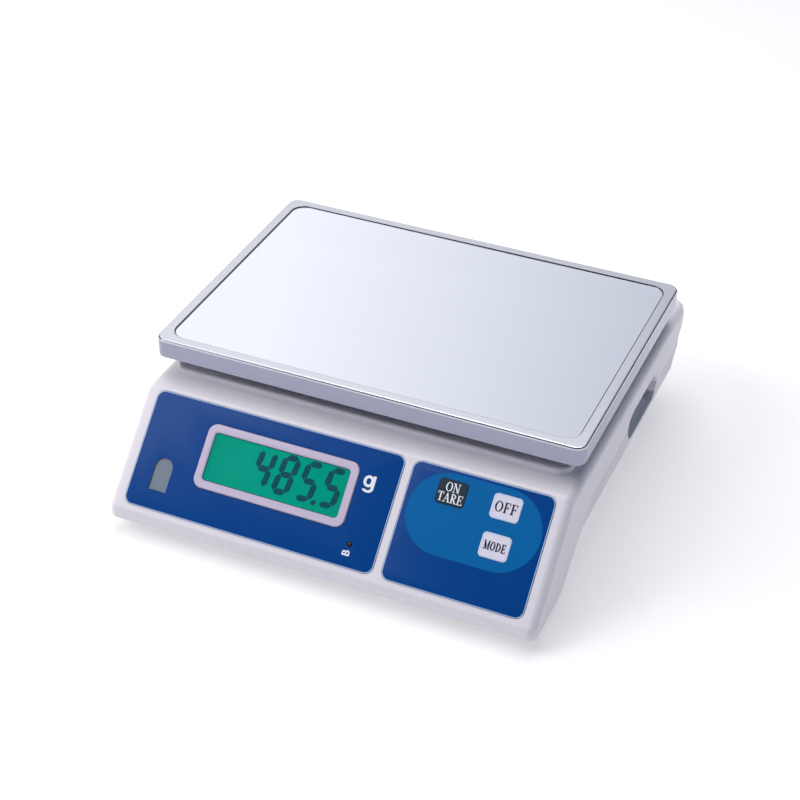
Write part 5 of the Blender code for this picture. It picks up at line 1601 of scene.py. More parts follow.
# ---------------------------------------------------------------- pan
@dataclass
class WeighingPan:
    """Pressed steel pan with a bright middle, a brushed rim and a folded skirt; the skirt's steel is painted
    darker as shade, and a painted dark reflection lies along the top fold and the dish step.

    Attributes:
        sheet: Thickness of the steel.
        corner: Radius of the outer corners.
        fold: Radius of the top edge.
        rim: Width of the rim round the middle.
        dish: How far the middle lies below the rim.
        dish_corner: Radius of the middle's corners.
        groove: Width of the pressed line round the middle.
    """

    sheet: float = 1.2 * MM
    corner: float = 7 * MM
    fold: float = 1.6 * MM
    rim: float = 7.2 * MM
    dish: float = 0.8 * MM
    dish_corner: float = 9 * MM
    groove: float = 0.6 * MM

    def build(self) -> None:
        """Make the pan."""
        low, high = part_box("weighing_pan")
        width, depth = high.x - low.x, high.y - low.y
        middle = (0.0, (low.y + high.y) / 2)
        floor, far = high.z - self.dish, high.z + 5 * MM
        outer = Plate(width, depth, low.z, high.z, self.corner, self.fold, 0.35 * MM, segments=14)
        dish = Plate(
            width - 2 * self.rim,
            depth - 2 * self.rim,
            floor,
            far,
            self.dish_corner,
            bottom_edge=0.7 * MM,
            segments=14,
        )
        inside = Plate(
            width - 2 * self.sheet,
            depth - 2 * self.sheet,
            low.z - 5 * MM,
            high.z - self.sheet,
            self.corner - self.sheet,
            0.6 * MM,
        )
        below_dish = Plate(
            width - 2 * (self.rim - self.sheet),
            depth - 2 * (self.rim - self.sheet),
            floor - self.sheet,
            far,
            self.dish_corner + self.sheet,
            bottom_edge=0.7 * MM,
        )
        line = Plate(
            width - 2 * (self.rim - self.groove),
            depth - 2 * (self.rim - self.groove),
            high.z - 0.4 * MM,
            far,
            self.dish_corner + self.groove,
            segments=14,
        )
        pan = to_object("steel_pan", outer.build(middle))
        hollow = to_object("pan_inside", inside.build(middle))
        combine(hollow, [to_object("dish_floor", below_dish.build(middle))], Join.CUT)
        cuts = [hollow, to_object("dish", dish.build(middle)), to_object("groove", line.build(middle))]
        combine(pan, cuts, Join.CUT)
        for face in pan.data.polygons:
            inner = abs(face.center.x) < line.width / 2 + 0.1 * MM
            inner = inner and abs(face.center.y - middle[1]) < line.depth / 2 + 0.1 * MM
            if face.normal.z > 0.9 and face.center.z < floor + 0.1 * MM:
                face.material_index = 1
            # Dish step walls: painted dark reflection.
            elif inner and floor < face.center.z < high.z - 0.1 * MM and face.normal.z > -0.1:
                face.material_index = 3
            # Upright skirt faces take the steel with painted shade.
            elif abs(face.normal.z) < 0.5 and face.center.z < high.z - self.fold:
                face.material_index = 2
            # Middle of the top fold: painted dark reflection.
            elif 0.5 < face.normal.z < 0.85 and face.center.z > low.z + self.fold:
                face.material_index = 3
            else:
                face.material_index = 0
        put_on(pan, (PAN_RIM, PAN_MIRROR, PAN_SKIRT_PAINTED_SHADE, PAN_PAINTED_REFLECTION), "pan", ("weighing_pan",), 25.0, True)
        self.carrier()

    @staticmethod
    def carrier() -> None:
        """Dress the carrier, its cushions and what bolts it down."""
        dress_nodes(CAST, "pan_carrier")
        dress_nodes(MILLED, "carrier_post")
        dress_nodes(ZINC, "carrier_screw_1", "carrier_screw_2")
        for index in range(1, 5):
            low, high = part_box(f"pan_cushion_{index}")
            middle = (low + high) / 2
            radius = (high.x - low.x) / 2
            shoulder = low.z + 5.7 * MM
            cushion = turned(
                (
                    (0, high.z),
                    (radius - 2.4 * MM, high.z),
                    (radius - 0.9 * MM, high.z - 0.3 * MM),
                    (radius - 0.2 * MM, high.z - MM),
                    (radius - 0.8 * MM, (high.z + shoulder) / 2),
                    (radius, shoulder + 0.8 * MM),
                    (radius - 0.5 * MM, shoulder),
                    (3.5 * MM, shoulder),
                    (3.5 * MM, low.z + 0.8 * MM),
                    (2.7 * MM, low.z),
                    (0, low.z),
                )
            )
            move(cushion, Matrix.Translation((middle.x, middle.y, 0)))
            put_on(to_object(f"cushion_{index}", cushion), (RUBBER,), "platform", (f"pan_cushion_{index}",))


# ---------------------------------------------------------------- display
class Segment(Enum):
    """The seven bars of a numeral: place of the middle and whether the bar lies across."""

    TOP = (0.0, 1.0, True)
    UPPER_LEFT = (-1.0, 0.5, False)
    UPPER_RIGHT = (1.0, 0.5, False)
    MIDDLE = (0.0, 0.0, True)
    LOWER_LEFT = (-1.0, -0.5, False)
    LOWER_RIGHT = (1.0, -0.5, False)
    BOTTOM = (0.0, -1.0, True)


NUMERALS: dict[str, tuple[Segment, ...]] = {
    "4": (Segment.UPPER_LEFT, Segment.UPPER_RIGHT, Segment.MIDDLE, Segment.LOWER_RIGHT),
    "5": (Segment.TOP, Segment.UPPER_LEFT, Segment.MIDDLE, Segment.LOWER_RIGHT, Segment.BOTTOM),
    "8": tuple(Segment),
}


@dataclass
class Display:
    """Bezel, clear window, lit glass with its numerals, and the printed film round them.

    Attributes:
        panel: The sloped front.
        reading: What it shows.
        numeral_height: Height of a numeral.
        numeral_width: Width of a numeral.
        pitch: From one numeral to the next.
        stroke: Width of a bar.
        lean: Sideways lean of the numerals.
    """

    panel: Panel
    reading: str = "4855"
    numeral_height: float = 25.4 * MM
    numeral_width: float = 12.2 * MM
    pitch: float = 15.4 * MM
    stroke: float = 3.8 * MM
    lean: float = 0.125
    right_end: float = 2.6 * MM
    centre_drop: float = 29.9 * MM

    def build(self) -> None:
        """Make the display."""
        low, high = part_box("display_bezel")
        self.centre: Pair = ((low.x + high.x) / 2, 31.6 * MM)
        self.width: float = high.x - low.x
        self.film()
        self.bezel()
        self.window()
        self.numerals()
        self.marks()

    def film(self) -> None:
        """Make the printed film with its openings and pale border."""
        low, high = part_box("display_overlay")
        length = Housing(self.panel).film_length("display_overlay")
        centre = ((low.x + high.x) / 2, length / 2)
        out = self.panel.print_height
        film = self.panel.plate(
            "display_film", centre, Plate(
                high.x - low.x, length, -out, out, 5.5 * MM, 0.12 * MM, segments=12
            )
        )
        opening = Plate(self.width + 0.6 * MM, 41 * MM, -MM, MM, 6.3 * MM)
        cuts = [self.panel.plate("bezel_hole", self.centre, opening)]
        cuts.append(self.panel.place(to_object("level_film_hole", SpiritLevel.arch(0.0, -MM, MM))))
        cuts.append(self.panel.stud("lamp_film_hole", LAMP_PLACE, 1.8 * MM, -MM, MM))
        combine(film, cuts, Join.CUT)
        put_on(film, (DEEP_BLUE,), "housing", ("display_overlay",))
        size = (high.x - low.x - 0.3 * MM, length - 0.3 * MM)
        ring(self.panel, "display_film_border", centre, size, Band(5.35 * MM, 0.4 * MM, out), PALE_LINE)

    def bezel(self) -> None:
        """Make the raised frame round the window."""
        outer = Plate(self.width, 40.4 * MM, -0.3 * MM, 1.2 * MM, 6 * MM, 0.8 * MM, segments=14)
        bezel = self.panel.plate("silver_bezel", self.centre, outer)
        tongue = Plate(self.width - 4 * MM, 36.4 * MM, -2.5 * MM, 0.0, 4 * MM, segments=10)
        combine(bezel, [self.panel.plate("bezel_tongue", self.centre, tongue)], Join.ADD)
        window = Plate(self.width - 10 * MM, 30.4 * MM, -20 * MM, 20 * MM, 2.4 * MM, segments=10)
        pocket = Plate(self.width - 7 * MM, 33.4 * MM, -20 * MM, 0.0, 2.4 * MM, segments=8)
        slope = Plate(self.width - 8.6 * MM, 31.8 * MM, 0.9 * MM, 5 * MM, 3.1 * MM, segments=10)
        tools = [
            self.panel.plate("window_hole", self.centre, window),
            self.panel.plate("window_seat", self.centre, pocket),
            self.panel.plate("window_slope", self.centre, slope),
        ]
        combine(bezel, tools, Join.CUT)
        put_on(bezel, (BEZEL_SILVER,), "housing", ("display_bezel",), 28.0, True)

    def window(self) -> None:
        """Make the clear window and dress the lit glass and what lies behind it."""
        pane = Plate(self.width - 7.6 * MM, 32.8 * MM, -1.7 * MM, -0.3 * MM, 2.4 * MM, 0.1 * MM, 0.1 * MM)
        put_on(self.panel.plate("window_pane", self.centre, pane), (PANE,), "housing", ("display_window",))
        size = (self.width - 10 * MM, 30.4 * MM)
        ring(
            self.panel,
            "window_seal",
            self.centre,
            size,
            Band(2.4 * MM, 0.45 * MM, -0.28 * MM, 0.12 * MM),
            RUBBER,
        )
        middle = self.panel.matrix() @ Vector((self.centre[0] - 12 * MM, -self.centre[1], -2.8 * MM))
        glass = LitSurface(
            "lit_glass",
            (0.0, 0.31, 0.225),
            0.25,
            0.0,
            "lcd_green",
            1.0,
            tuple(middle),
            0.075,
            (0.0, 0.25, 0.185),
        )
        dress_nodes(glass, "lcd_glass")
        dress_nodes(PIPE_WHITE, "backlight")

    def bar_shape(self, long: float, across: bool) -> bmesh.types.BMesh:
        """Make one bar of a numeral, pointed at both ends.

        Args:
            long: Length of the bar.
            across: Whether it lies across.

        Returns:
            The bar about the origin.
        """
        half = self.stroke / 2
        bm = bmesh.new()
        bmesh.ops.create_cube(bm, size=1.0)
        bmesh.ops.scale(bm, vec=(long, self.stroke, INK), verts=bm.verts)
        soften(bm, upright(bm), half * 0.94, 1)
        if not across:
            bmesh.ops.rotate(bm, matrix=Matrix.Rotation(math.pi / 2, 3, "Z"), verts=bm.verts)
        return bm

    def numerals(self) -> None:
        """Make the reading, one piece for all its bars."""
        whole = bmesh.new()
        reach_x = (self.numeral_width - self.stroke) / 2
        reach_y = (self.numeral_height - self.stroke) / 2
        gap = 0.42 * MM
        for index, numeral in enumerate(reversed(self.reading)):
            middle = self.right_end - self.numeral_width / 2 - index * self.pitch
            for segment in NUMERALS[numeral]:
                across_x, up, across = segment.value
                long = (2 * reach_x if across else reach_y) - 1.4 * gap
                piece = self.bar_shape(long, across)
                spot = (middle + across_x * reach_x, up * reach_y, 0.0)
                bmesh.ops.translate(piece, vec=spot, verts=piece.verts)
                self.pour(piece, whole)
        dot = bmesh.new()
        bmesh.ops.create_cone(
            dot, cap_ends=True, segments=20, radius1=1.7 * MM, radius2=1.7 * MM, depth=INK
        )
        spot = (self.right_end - self.numeral_width - 1.5 * MM, -reach_y - 0.6 * MM, 0.0)
        bmesh.ops.translate(dot, vec=spot, verts=dot.verts)
        self.pour(dot, whole)
        for vert in whole.verts:
            vert.co.x += vert.co.y * self.lean
        bmesh.ops.translate(whole, vec=(0, -self.centre_drop, -2.7 * MM), verts=whole.verts)
        reading = self.panel.place(to_object("reading", whole))
        put_on(reading, (SEGMENT_DARK,), "housing")

    @staticmethod
    def pour(piece: bmesh.types.BMesh, whole: bmesh.types.BMesh) -> None:
        """Move one mesh's shape into another.

        Args:
            piece: The mesh that is used up.
            whole: The mesh it goes into.
        """
        mesh = bpy.data.meshes.new("pour")
        piece.to_mesh(mesh)
        piece.free()
        whole.from_mesh(mesh)
        bpy.data.meshes.remove(mesh)

    def marks(self) -> None:
        """Print the unit and the battery mark, and make the lamp."""
        top = self.panel.print_height
        self.unit(top)
        mark = self.panel.words(
            "battery_mark", "B", (17.8 * MM, 64.6 * MM), 6.6 * MM, top, 90.0, 1.0, 0.16 * MM
        )
        put_on(mark, (WHITE_INK,), "housing")
        lens = turned(
            (
                (0, 0.35 * MM),
                (0.6 * MM, 0.3 * MM),
                (1.1 * MM, 0.1 * MM),
                (1.45 * MM, -0.4 * MM),
                (1.45 * MM, -8.2 * MM),
                (2.3 * MM, -8.2 * MM),
                (2.3 * MM, -9 * MM),
                (0, -9 * MM),
            ),
            24,
        )
        node_low, node_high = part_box("charge_lamp")
        span = (node_high.z - node_low.z) / math.cos(self.panel.slope)
        bmesh.ops.scale(lens, vec=(1, 1, min(1.0, 0.62 * span / (9 * MM))), verts=lens.verts)
        move(lens, Matrix.Translation((18.2 * MM, -59.2 * MM, 0.0)))
        put_on(self.panel.place(to_object("charge_lens", lens)), (LAMP_LENS,), "housing", ("charge_lamp",))

    def unit(self, low: float) -> None:
        """Print the gram sign: a round bowl, a stem and a hook.

        Args:
            low: Height of its underside.
        """
        high = low + INK
        bowl = to_object(
            "unit_mark", Plate(8.4 * MM, 9.2 * MM, low, high, 4.19 * MM, segments=16).build((-1.1 * MM, 0))
        )
        hole = Plate(3.7 * MM, 4.9 * MM, low - MM, high + MM, 1.84 * MM, segments=16).build((-1.1 * MM, 0))
        combine(bowl, [to_object("bowl_hole", hole)], Join.CUT)
        tail_middle = (-0.55 * MM, -4.6 * MM)
        tail = to_object(
            "tail", Plate(9.5 * MM, 8.2 * MM, low, high, 4 * MM, segments=16).build(tail_middle)
        )
        inner = Plate(4.7 * MM, 4.4 * MM, low - MM, high + MM, 2.1 * MM, segments=16).build(tail_middle)
        upper = Plate(20 * MM, 10 * MM, low - MM, high + MM).build((0, -0.1 * MM))
        notch = Plate(4 * MM, 1.5 * MM, low - MM, high + MM).build((-4.6 * MM, -5.7 * MM))
        tools = [to_object("tail_hole", inner), to_object("tail_top", upper), to_object("tail_notch", notch)]
        combine(tail, tools, Join.CUT)
        stem = to_object("stem", Plate(2.45 * MM, 11 * MM, low, high).build((2.97 * MM, -0.7 * MM)))
        combine(bowl, [tail, stem], Join.ADD)
        place = Matrix.Translation((19.1 * MM, -20.2 * MM, 0)) @ Matrix.Diagonal((0.78, 0.78, 1.0, 1.0))
        bowl.data.transform(place)
        put_on(self.panel.place(bowl), (WHITE_INK,), "housing")


@dataclass(frozen=True)
class Band:
    """Form of a printed line.

    Attributes:
        radius: Radius of its outer corners.
        width: Width of the line.
        low: Height of its underside.
        thickness: How thick it is.
    """

    radius: float
    width: float
    low: float
    thickness: float = 0.05 * MM


def ring(
    panel: Panel, name: str, centre: Pair, size: Pair, band: Band, finish: Finish, body: str = "housing"
) -> None:
    """Lay a line round a rounded rectangle.

    Args:
        panel: The sloped front.
        name: Name of the new piece.
        centre: Across and down the slope.
        size: Outer size of the line.
        band: Form of the line.
        finish: What it is printed with.
        body: The CAD body it rides on.
    """
    outer = Plate(size[0], size[1], band.low, band.low + band.thickness, band.radius, segments=12)
    inside = Plate(
        size[0] - 2 * band.width,
        size[1] - 2 * band.width,
        band.low - MM,
        MM,
        band.radius - band.width,
        segments=12,
    )
    line = panel.plate(name, centre, outer)
    combine(line, [panel.plate(name + "_inside", centre, inside)], Join.CUT)
    put_on(line, (finish,), body)


# ---------------------------------------------------------------- keys
@dataclass(frozen=True)
class KeyFace:
    """One key: its CAD node, its place, its lettering and its finishes."""

    node: str
    centre: Pair
    lines: tuple[str, ...]
    size: float
    wide: float
    weight: Pair
    cap: Finish
    ink: Finish


@dataclass
class Keypad:
    """The key film with its light field, three keys and what lies behind them."""

    panel: Panel

    @staticmethod
    def places() -> tuple[Pair, ...]:
        """Middle of each key: across and down the slope."""
        return ((69.2 * MM, 13.7 * MM), (103.2 * MM, 13.7 * MM), (103.2 * MM, 37 * MM))

    def keys(self) -> tuple[KeyFace, ...]:
        """Lay out the three keys.

        Returns:
            The keys.
        """
        tare, off, mode = self.places()
        return (
            KeyFace(
                "key_on_tare", tare, ("ON", "TARE"), 5.6 * MM, 0.96, (0.155, 0.07), KEY_DARK, WHITE_INK
            ),
            KeyFace("key_off", off, ("OFF",), 6.3 * MM, 1.02, (0.17, 0.08), KEY_LIGHT, DARK_INK),
            KeyFace("key_mode", mode, ("MODE",), 5.2 * MM, 0.78, (0.22, 0.1), KEY_LIGHT, DARK_INK),
        )

    def build(self) -> None:
        """Make the key side of the panel."""
        self.film()
        for key in self.keys():
            self.key(key)
        for label in ("on_tare", "off", "mode"):
            dress_nodes(DARK_MOULDING, f"plunger_{label}", f"switch_{label}")

    def film(self) -> None:
        """Make the film, its pale border and its light field."""
        low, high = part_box("key_overlay")
        length = Housing(self.panel).film_length("key_overlay")
        centre = ((low.x + high.x) / 2, length / 2)
        out = self.panel.print_height
        film = self.panel.plate(
            "key_film", centre, Plate(high.x - low.x, length, -out, out, 5.5 * MM, 0.12 * MM, segments=12)
        )
        field_shape = Plate(83.2 * MM, 49.3 * MM, out, out + 0.04 * MM, 24.6 * MM, segments=32)
        light = self.panel.plate("light_field", (86.6 * MM, 26.8 * MM), field_shape)
        for thing in (film, light):
            cuts = [
                self.panel.plate("key_hole", place, Plate(18.3 * MM, 15.3 * MM, -MM, MM, 2.75 * MM))
                for place in self.places()
            ]
            combine(thing, cuts, Join.CUT)
        put_on(film, (DEEP_BLUE,), "housing", ("key_overlay",))
        put_on(light, (FIELD_BLUE,), "housing")
        size = (high.x - low.x - 0.3 * MM, length - 0.3 * MM)
        ring(self.panel, "key_film_border", centre, size, Band(5.35 * MM, 0.4 * MM, out), PALE_LINE)

    def key(self, key: KeyFace) -> None:
        """Make one key with its flange and lettering.

        Args:
            key: What the key is.
        """
        body = f"{key.node}_body"
        cap = self.panel.plate(
            key.node + "_cap", key.centre, Plate(18 * MM, 15 * MM, -3.3 * MM, 0.5 * MM, 2.6 * MM, 0.4 * MM)
        )
        flange = Plate(21 * MM, 18 * MM, -3.8 * MM, -2.8 * MM, 2.6 * MM)
        combine(cap, [self.panel.plate("flange", key.centre, flange)], Join.ADD)
        put_on(cap, (key.cap,), body, (key.node,), 28.0, True)
        if key.cap is KEY_LIGHT:
            line = Band(2.3 * MM, 0.6 * MM, 0.5 * MM, 0.04 * MM)
            ring(
                self.panel, f"{key.node}_outline", key.centre, (17.2 * MM, 14.2 * MM), line, PALE_LINE, body
            )
        count = len(key.lines)
        for index, line in enumerate(key.lines):
            drop = (index - (count - 1) / 2) * key.size * 1.14
            words = serif_word(
                f"{key.node}_print_{index + 1}", line, key.size, key.wide, key.weight, 0.05 * MM
            )
            words.data.transform(Matrix.Translation((key.centre[0], -key.centre[1] - drop, 0.5 * MM)))
            self.panel.place(words)
            put_on(words, (key.ink,), body)


# ---------------------------------------------------------------- spirit level
@dataclass
class SpiritLevel:
    """Round level in its cup under an arched window.

    Attributes:
        panel: The sloped front.
    """

    panel: Panel

    @staticmethod
    def arch(grow: float, low: float, high: float) -> bmesh.types.BMesh:
        """Make the window's form: a plate with a flat foot and a round head.

        Args:
            grow: How much larger than the opening it is.
            low: Height of its underside.
            high: Height of its top.

        Returns:
            The form, flat, in panel places.
        """
        width, height = 12 * MM, 21.2 * MM
        overlay_low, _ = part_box("display_overlay")
        centre = (overlay_low.x + 19.2 * MM, -50.6 * MM)
        bm = bmesh.new()
        bmesh.ops.create_cube(bm, size=1.0)
        bmesh.ops.scale(bm, vec=(width + 2 * grow, height + 2 * grow, high - low), verts=bm.verts)
        head = [e for e in upright(bm) if e.verts[0].co.y > 0]
        soften(bm, head, (width / 2 + grow) * 0.999, 14)
        bmesh.ops.translate(bm, vec=(centre[0], centre[1], (low + high) / 2), verts=bm.verts)
        return bm

    def build(self) -> None:
        """Make the level."""
        self.window()
        self.cup()
        self.vial()

    def window(self) -> None:
        """Make the clear arched window."""
        pane = self.arch(-0.3 * MM, -1.5 * MM, -0.3 * MM)
        put_on(self.panel.place(to_object("level_pane", pane)), (LEVEL_PANE,), "housing", ("level_window",))

    @staticmethod
    def cup() -> None:
        """Make the cup with a softened lip."""
        low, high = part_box("level_cup")
        middle = (low + high) / 2
        outer = (high.x - low.x) / 2
        cup = turned(
            (
                (0, low.z + 2.4 * MM),
                (outer - 2 * MM, low.z + 2.4 * MM),
                (outer - 2 * MM, high.z - 0.4 * MM),
                (outer - 1.6 * MM, high.z),
                (outer - 0.4 * MM, high.z),
                (outer, high.z - 0.4 * MM),
                (outer, low.z + 0.4 * MM),
                (outer - 0.4 * MM, low.z),
                (0, low.z),
            )
        )
        move(cup, Matrix.Translation((middle.x, middle.y, 0)))
        put_on(to_object("level_seat", cup), (GREY_MOULDING,), "housing", ("level_cup",))

    @staticmethod
    def vial() -> None:
        """Make the domed vial, its bubble and its centring ring."""
        low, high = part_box("level_vial")
        middle = (low + high) / 2
        radius = (high.x - low.x) / 2
        vial = turned(
            (
                (0, high.z),
                (radius * 0.4, high.z - 0.12 * MM),
                (radius * 0.75, high.z - 0.42 * MM),
                (radius - 0.2 * MM, high.z - 0.8 * MM),
                (radius, high.z - 1.1 * MM),
                (radius, low.z),
                (0, low.z),
            )
        )
        move(vial, Matrix.Translation((middle.x, middle.y, 0)))
        put_on(to_object("level_glass", vial), (LEVEL_LIQUID,), "housing", ("level_vial",))
        bubble = bmesh.new()
        bmesh.ops.create_uvsphere(bubble, u_segments=24, v_segments=12, radius=1.7 * MM)
        bmesh.ops.scale(bubble, vec=(1, 1, 0.35), verts=bubble.verts)
        bmesh.ops.translate(bubble, vec=(middle.x, middle.y, high.z - 1.2 * MM), verts=bubble.verts)
        put_on(to_object("level_bubble", bubble), (PANE,), "housing")
        circle = turned(
            (
                (2.3 * MM, 0.12 * MM),
                (2.7 * MM, 0.12 * MM),
                (2.7 * MM, 0.0),
                (2.3 * MM, 0.0),
                (2.3 * MM, 0.12 * MM),
            ),
        )
        move(circle, Matrix.Translation((middle.x, middle.y, high.z + 0.02 * MM)))
        put_on(to_object("level_ring", circle), (DARK_INK,), "housing")


# ---------------------------------------------------------------- feet and screws
@dataclass
class Foot:
    """One levelling foot: a fluted knob with a threaded stud, and its ribbed rubber pad.

    Attributes:
        label: Which corner it stands at.
        thread: Height of one turn of the thread.
    """

    label: str
    thread: float = 1.25 * MM

    def build(self) -> None:
        """Make the foot."""
        low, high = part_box(f"foot_{self.label}")
        pad_low, pad_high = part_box(f"foot_pad_{self.label}")
        middle = (pad_low + pad_high) / 2
        knob_top, knob, stud = low.z + 7.1 * MM, 14 * MM, 4 * MM
        profile = [(0, high.z), (stud - MM, high.z)]
        height = high.z - MM
        while height > knob_top + self.thread:
            profile.append((stud - 0.05 * MM, height))
            profile.append((stud - 0.6 * MM, height - self.thread / 2))
            height -= self.thread
        profile += [
            (stud - 0.3 * MM, knob_top),
            (6.5 * MM, knob_top),
            (6.8 * MM, knob_top - 0.7 * MM),
            (knob - 1.6 * MM, knob_top - 0.7 * MM),
            (knob - 0.5 * MM, knob_top - 1.1 * MM),
            (knob, knob_top - 2 * MM),
            (knob, low.z + 1.4 * MM),
            (knob - 0.4 * MM, low.z + 0.5 * MM),
            (knob - 1.2 * MM, low.z),
            (pad_high.x - middle.x + 0.3 * MM, low.z),
            (pad_high.x - middle.x + 0.3 * MM, low.z + 1.4 * MM),
            (0, low.z + 1.4 * MM),
        ]
        foot = to_object(f"levelling_foot_{self.label}", turned(profile, 72))
        flutes = []
        for index in range(6):
            angle = index * math.pi / 3
            spot = ((knob + 1.8 * MM) * math.cos(angle), (knob + 1.8 * MM) * math.sin(angle))
            flutes.append(to_object("flute", bar(3 * MM, low.z - MM, knob_top + MM, spot, 40)))
        combine(foot, flutes, Join.CUT)
        foot.data.transform(Matrix.Translation((middle.x, middle.y, 0)))
        for face in foot.data.polygons:
            face.material_index = 1 if face.center.z > knob_top + 0.3 * MM else 0
        put_on(foot, (DARK_MOULDING, ZINC), f"stud_{self.label}", (f"foot_{self.label}",))
        self.pad(pad_low, pad_high)

    def pad(self, low: Vector, high: Vector) -> None:
        """Make the pad with three grooves underneath.

        Args:
            low: Lowest corner of the CAD pad.
            high: Highest corner of the CAD pad.
        """
        middle = (low + high) / 2
        radius = (high.x - low.x) / 2
        profile = [(0, high.z), (radius, high.z), (radius, low.z + 0.6 * MM), (radius - 0.6 * MM, low.z)]
        for groove in (8.2, 5.4, 2.6):
            profile += [
                (groove * MM + 0.5 * MM, low.z),
                (groove * MM + 0.3 * MM, low.z + 0.5 * MM),
                (groove * MM - 0.3 * MM, low.z + 0.5 * MM),
                (groove * MM - 0.5 * MM, low.z),
            ]
        profile.append((0, low.z))
        pad = move(turned(profile, 48), Matrix.Translation((middle.x, middle.y, 0)))
        put_on(
            to_object(f"rubber_pad_{self.label}", pad),
            (RUBBER,),
            f"pad_{self.label}",
            (f"foot_pad_{self.label}",),
        )


@dataclass
class HousingScrew:
    """One of the four screws that hold the shells together, with a cross recess."""

    label: str

    def build(self) -> None:
        """Make the screw."""
        low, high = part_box(f"housing_screw_{self.label}")
        middle = (low + high) / 2
        seat = low.z + 2.6 * MM
        profile = [(0, high.z), (0.5 * MM, high.z), (1.2 * MM, high.z - 1.5 * MM)]
        height = high.z - 1.6 * MM
        while height > seat + 2 * MM:
            profile.append((1.88 * MM, height))
            profile.append((1.35 * MM, height - 0.6 * MM))
            height -= 1.2 * MM
        profile += [
            (1.6 * MM, seat),
            (3.6 * MM, seat),
            (3.6 * MM, low.z + 1.2 * MM),
            (3.2 * MM, low.z + 0.4 * MM),
            (2.4 * MM, low.z),
            (0, low.z),
        ]
        screw = to_object(f"shell_screw_{self.label}", turned(profile, 32))
        recess = to_object("recess", Plate(4.2 * MM, 0.9 * MM, low.z - MM, low.z + 1.6 * MM).build())
        cross = to_object("cross", Plate(0.9 * MM, 4.2 * MM, low.z - MM, low.z + 1.55 * MM).build())
        combine(screw, [recess, cross], Join.CUT)
        screw.data.transform(Matrix.Translation((middle.x, middle.y, 0)))
        put_on(screw, (ZINC,), "housing", (f"housing_screw_{self.label}",))


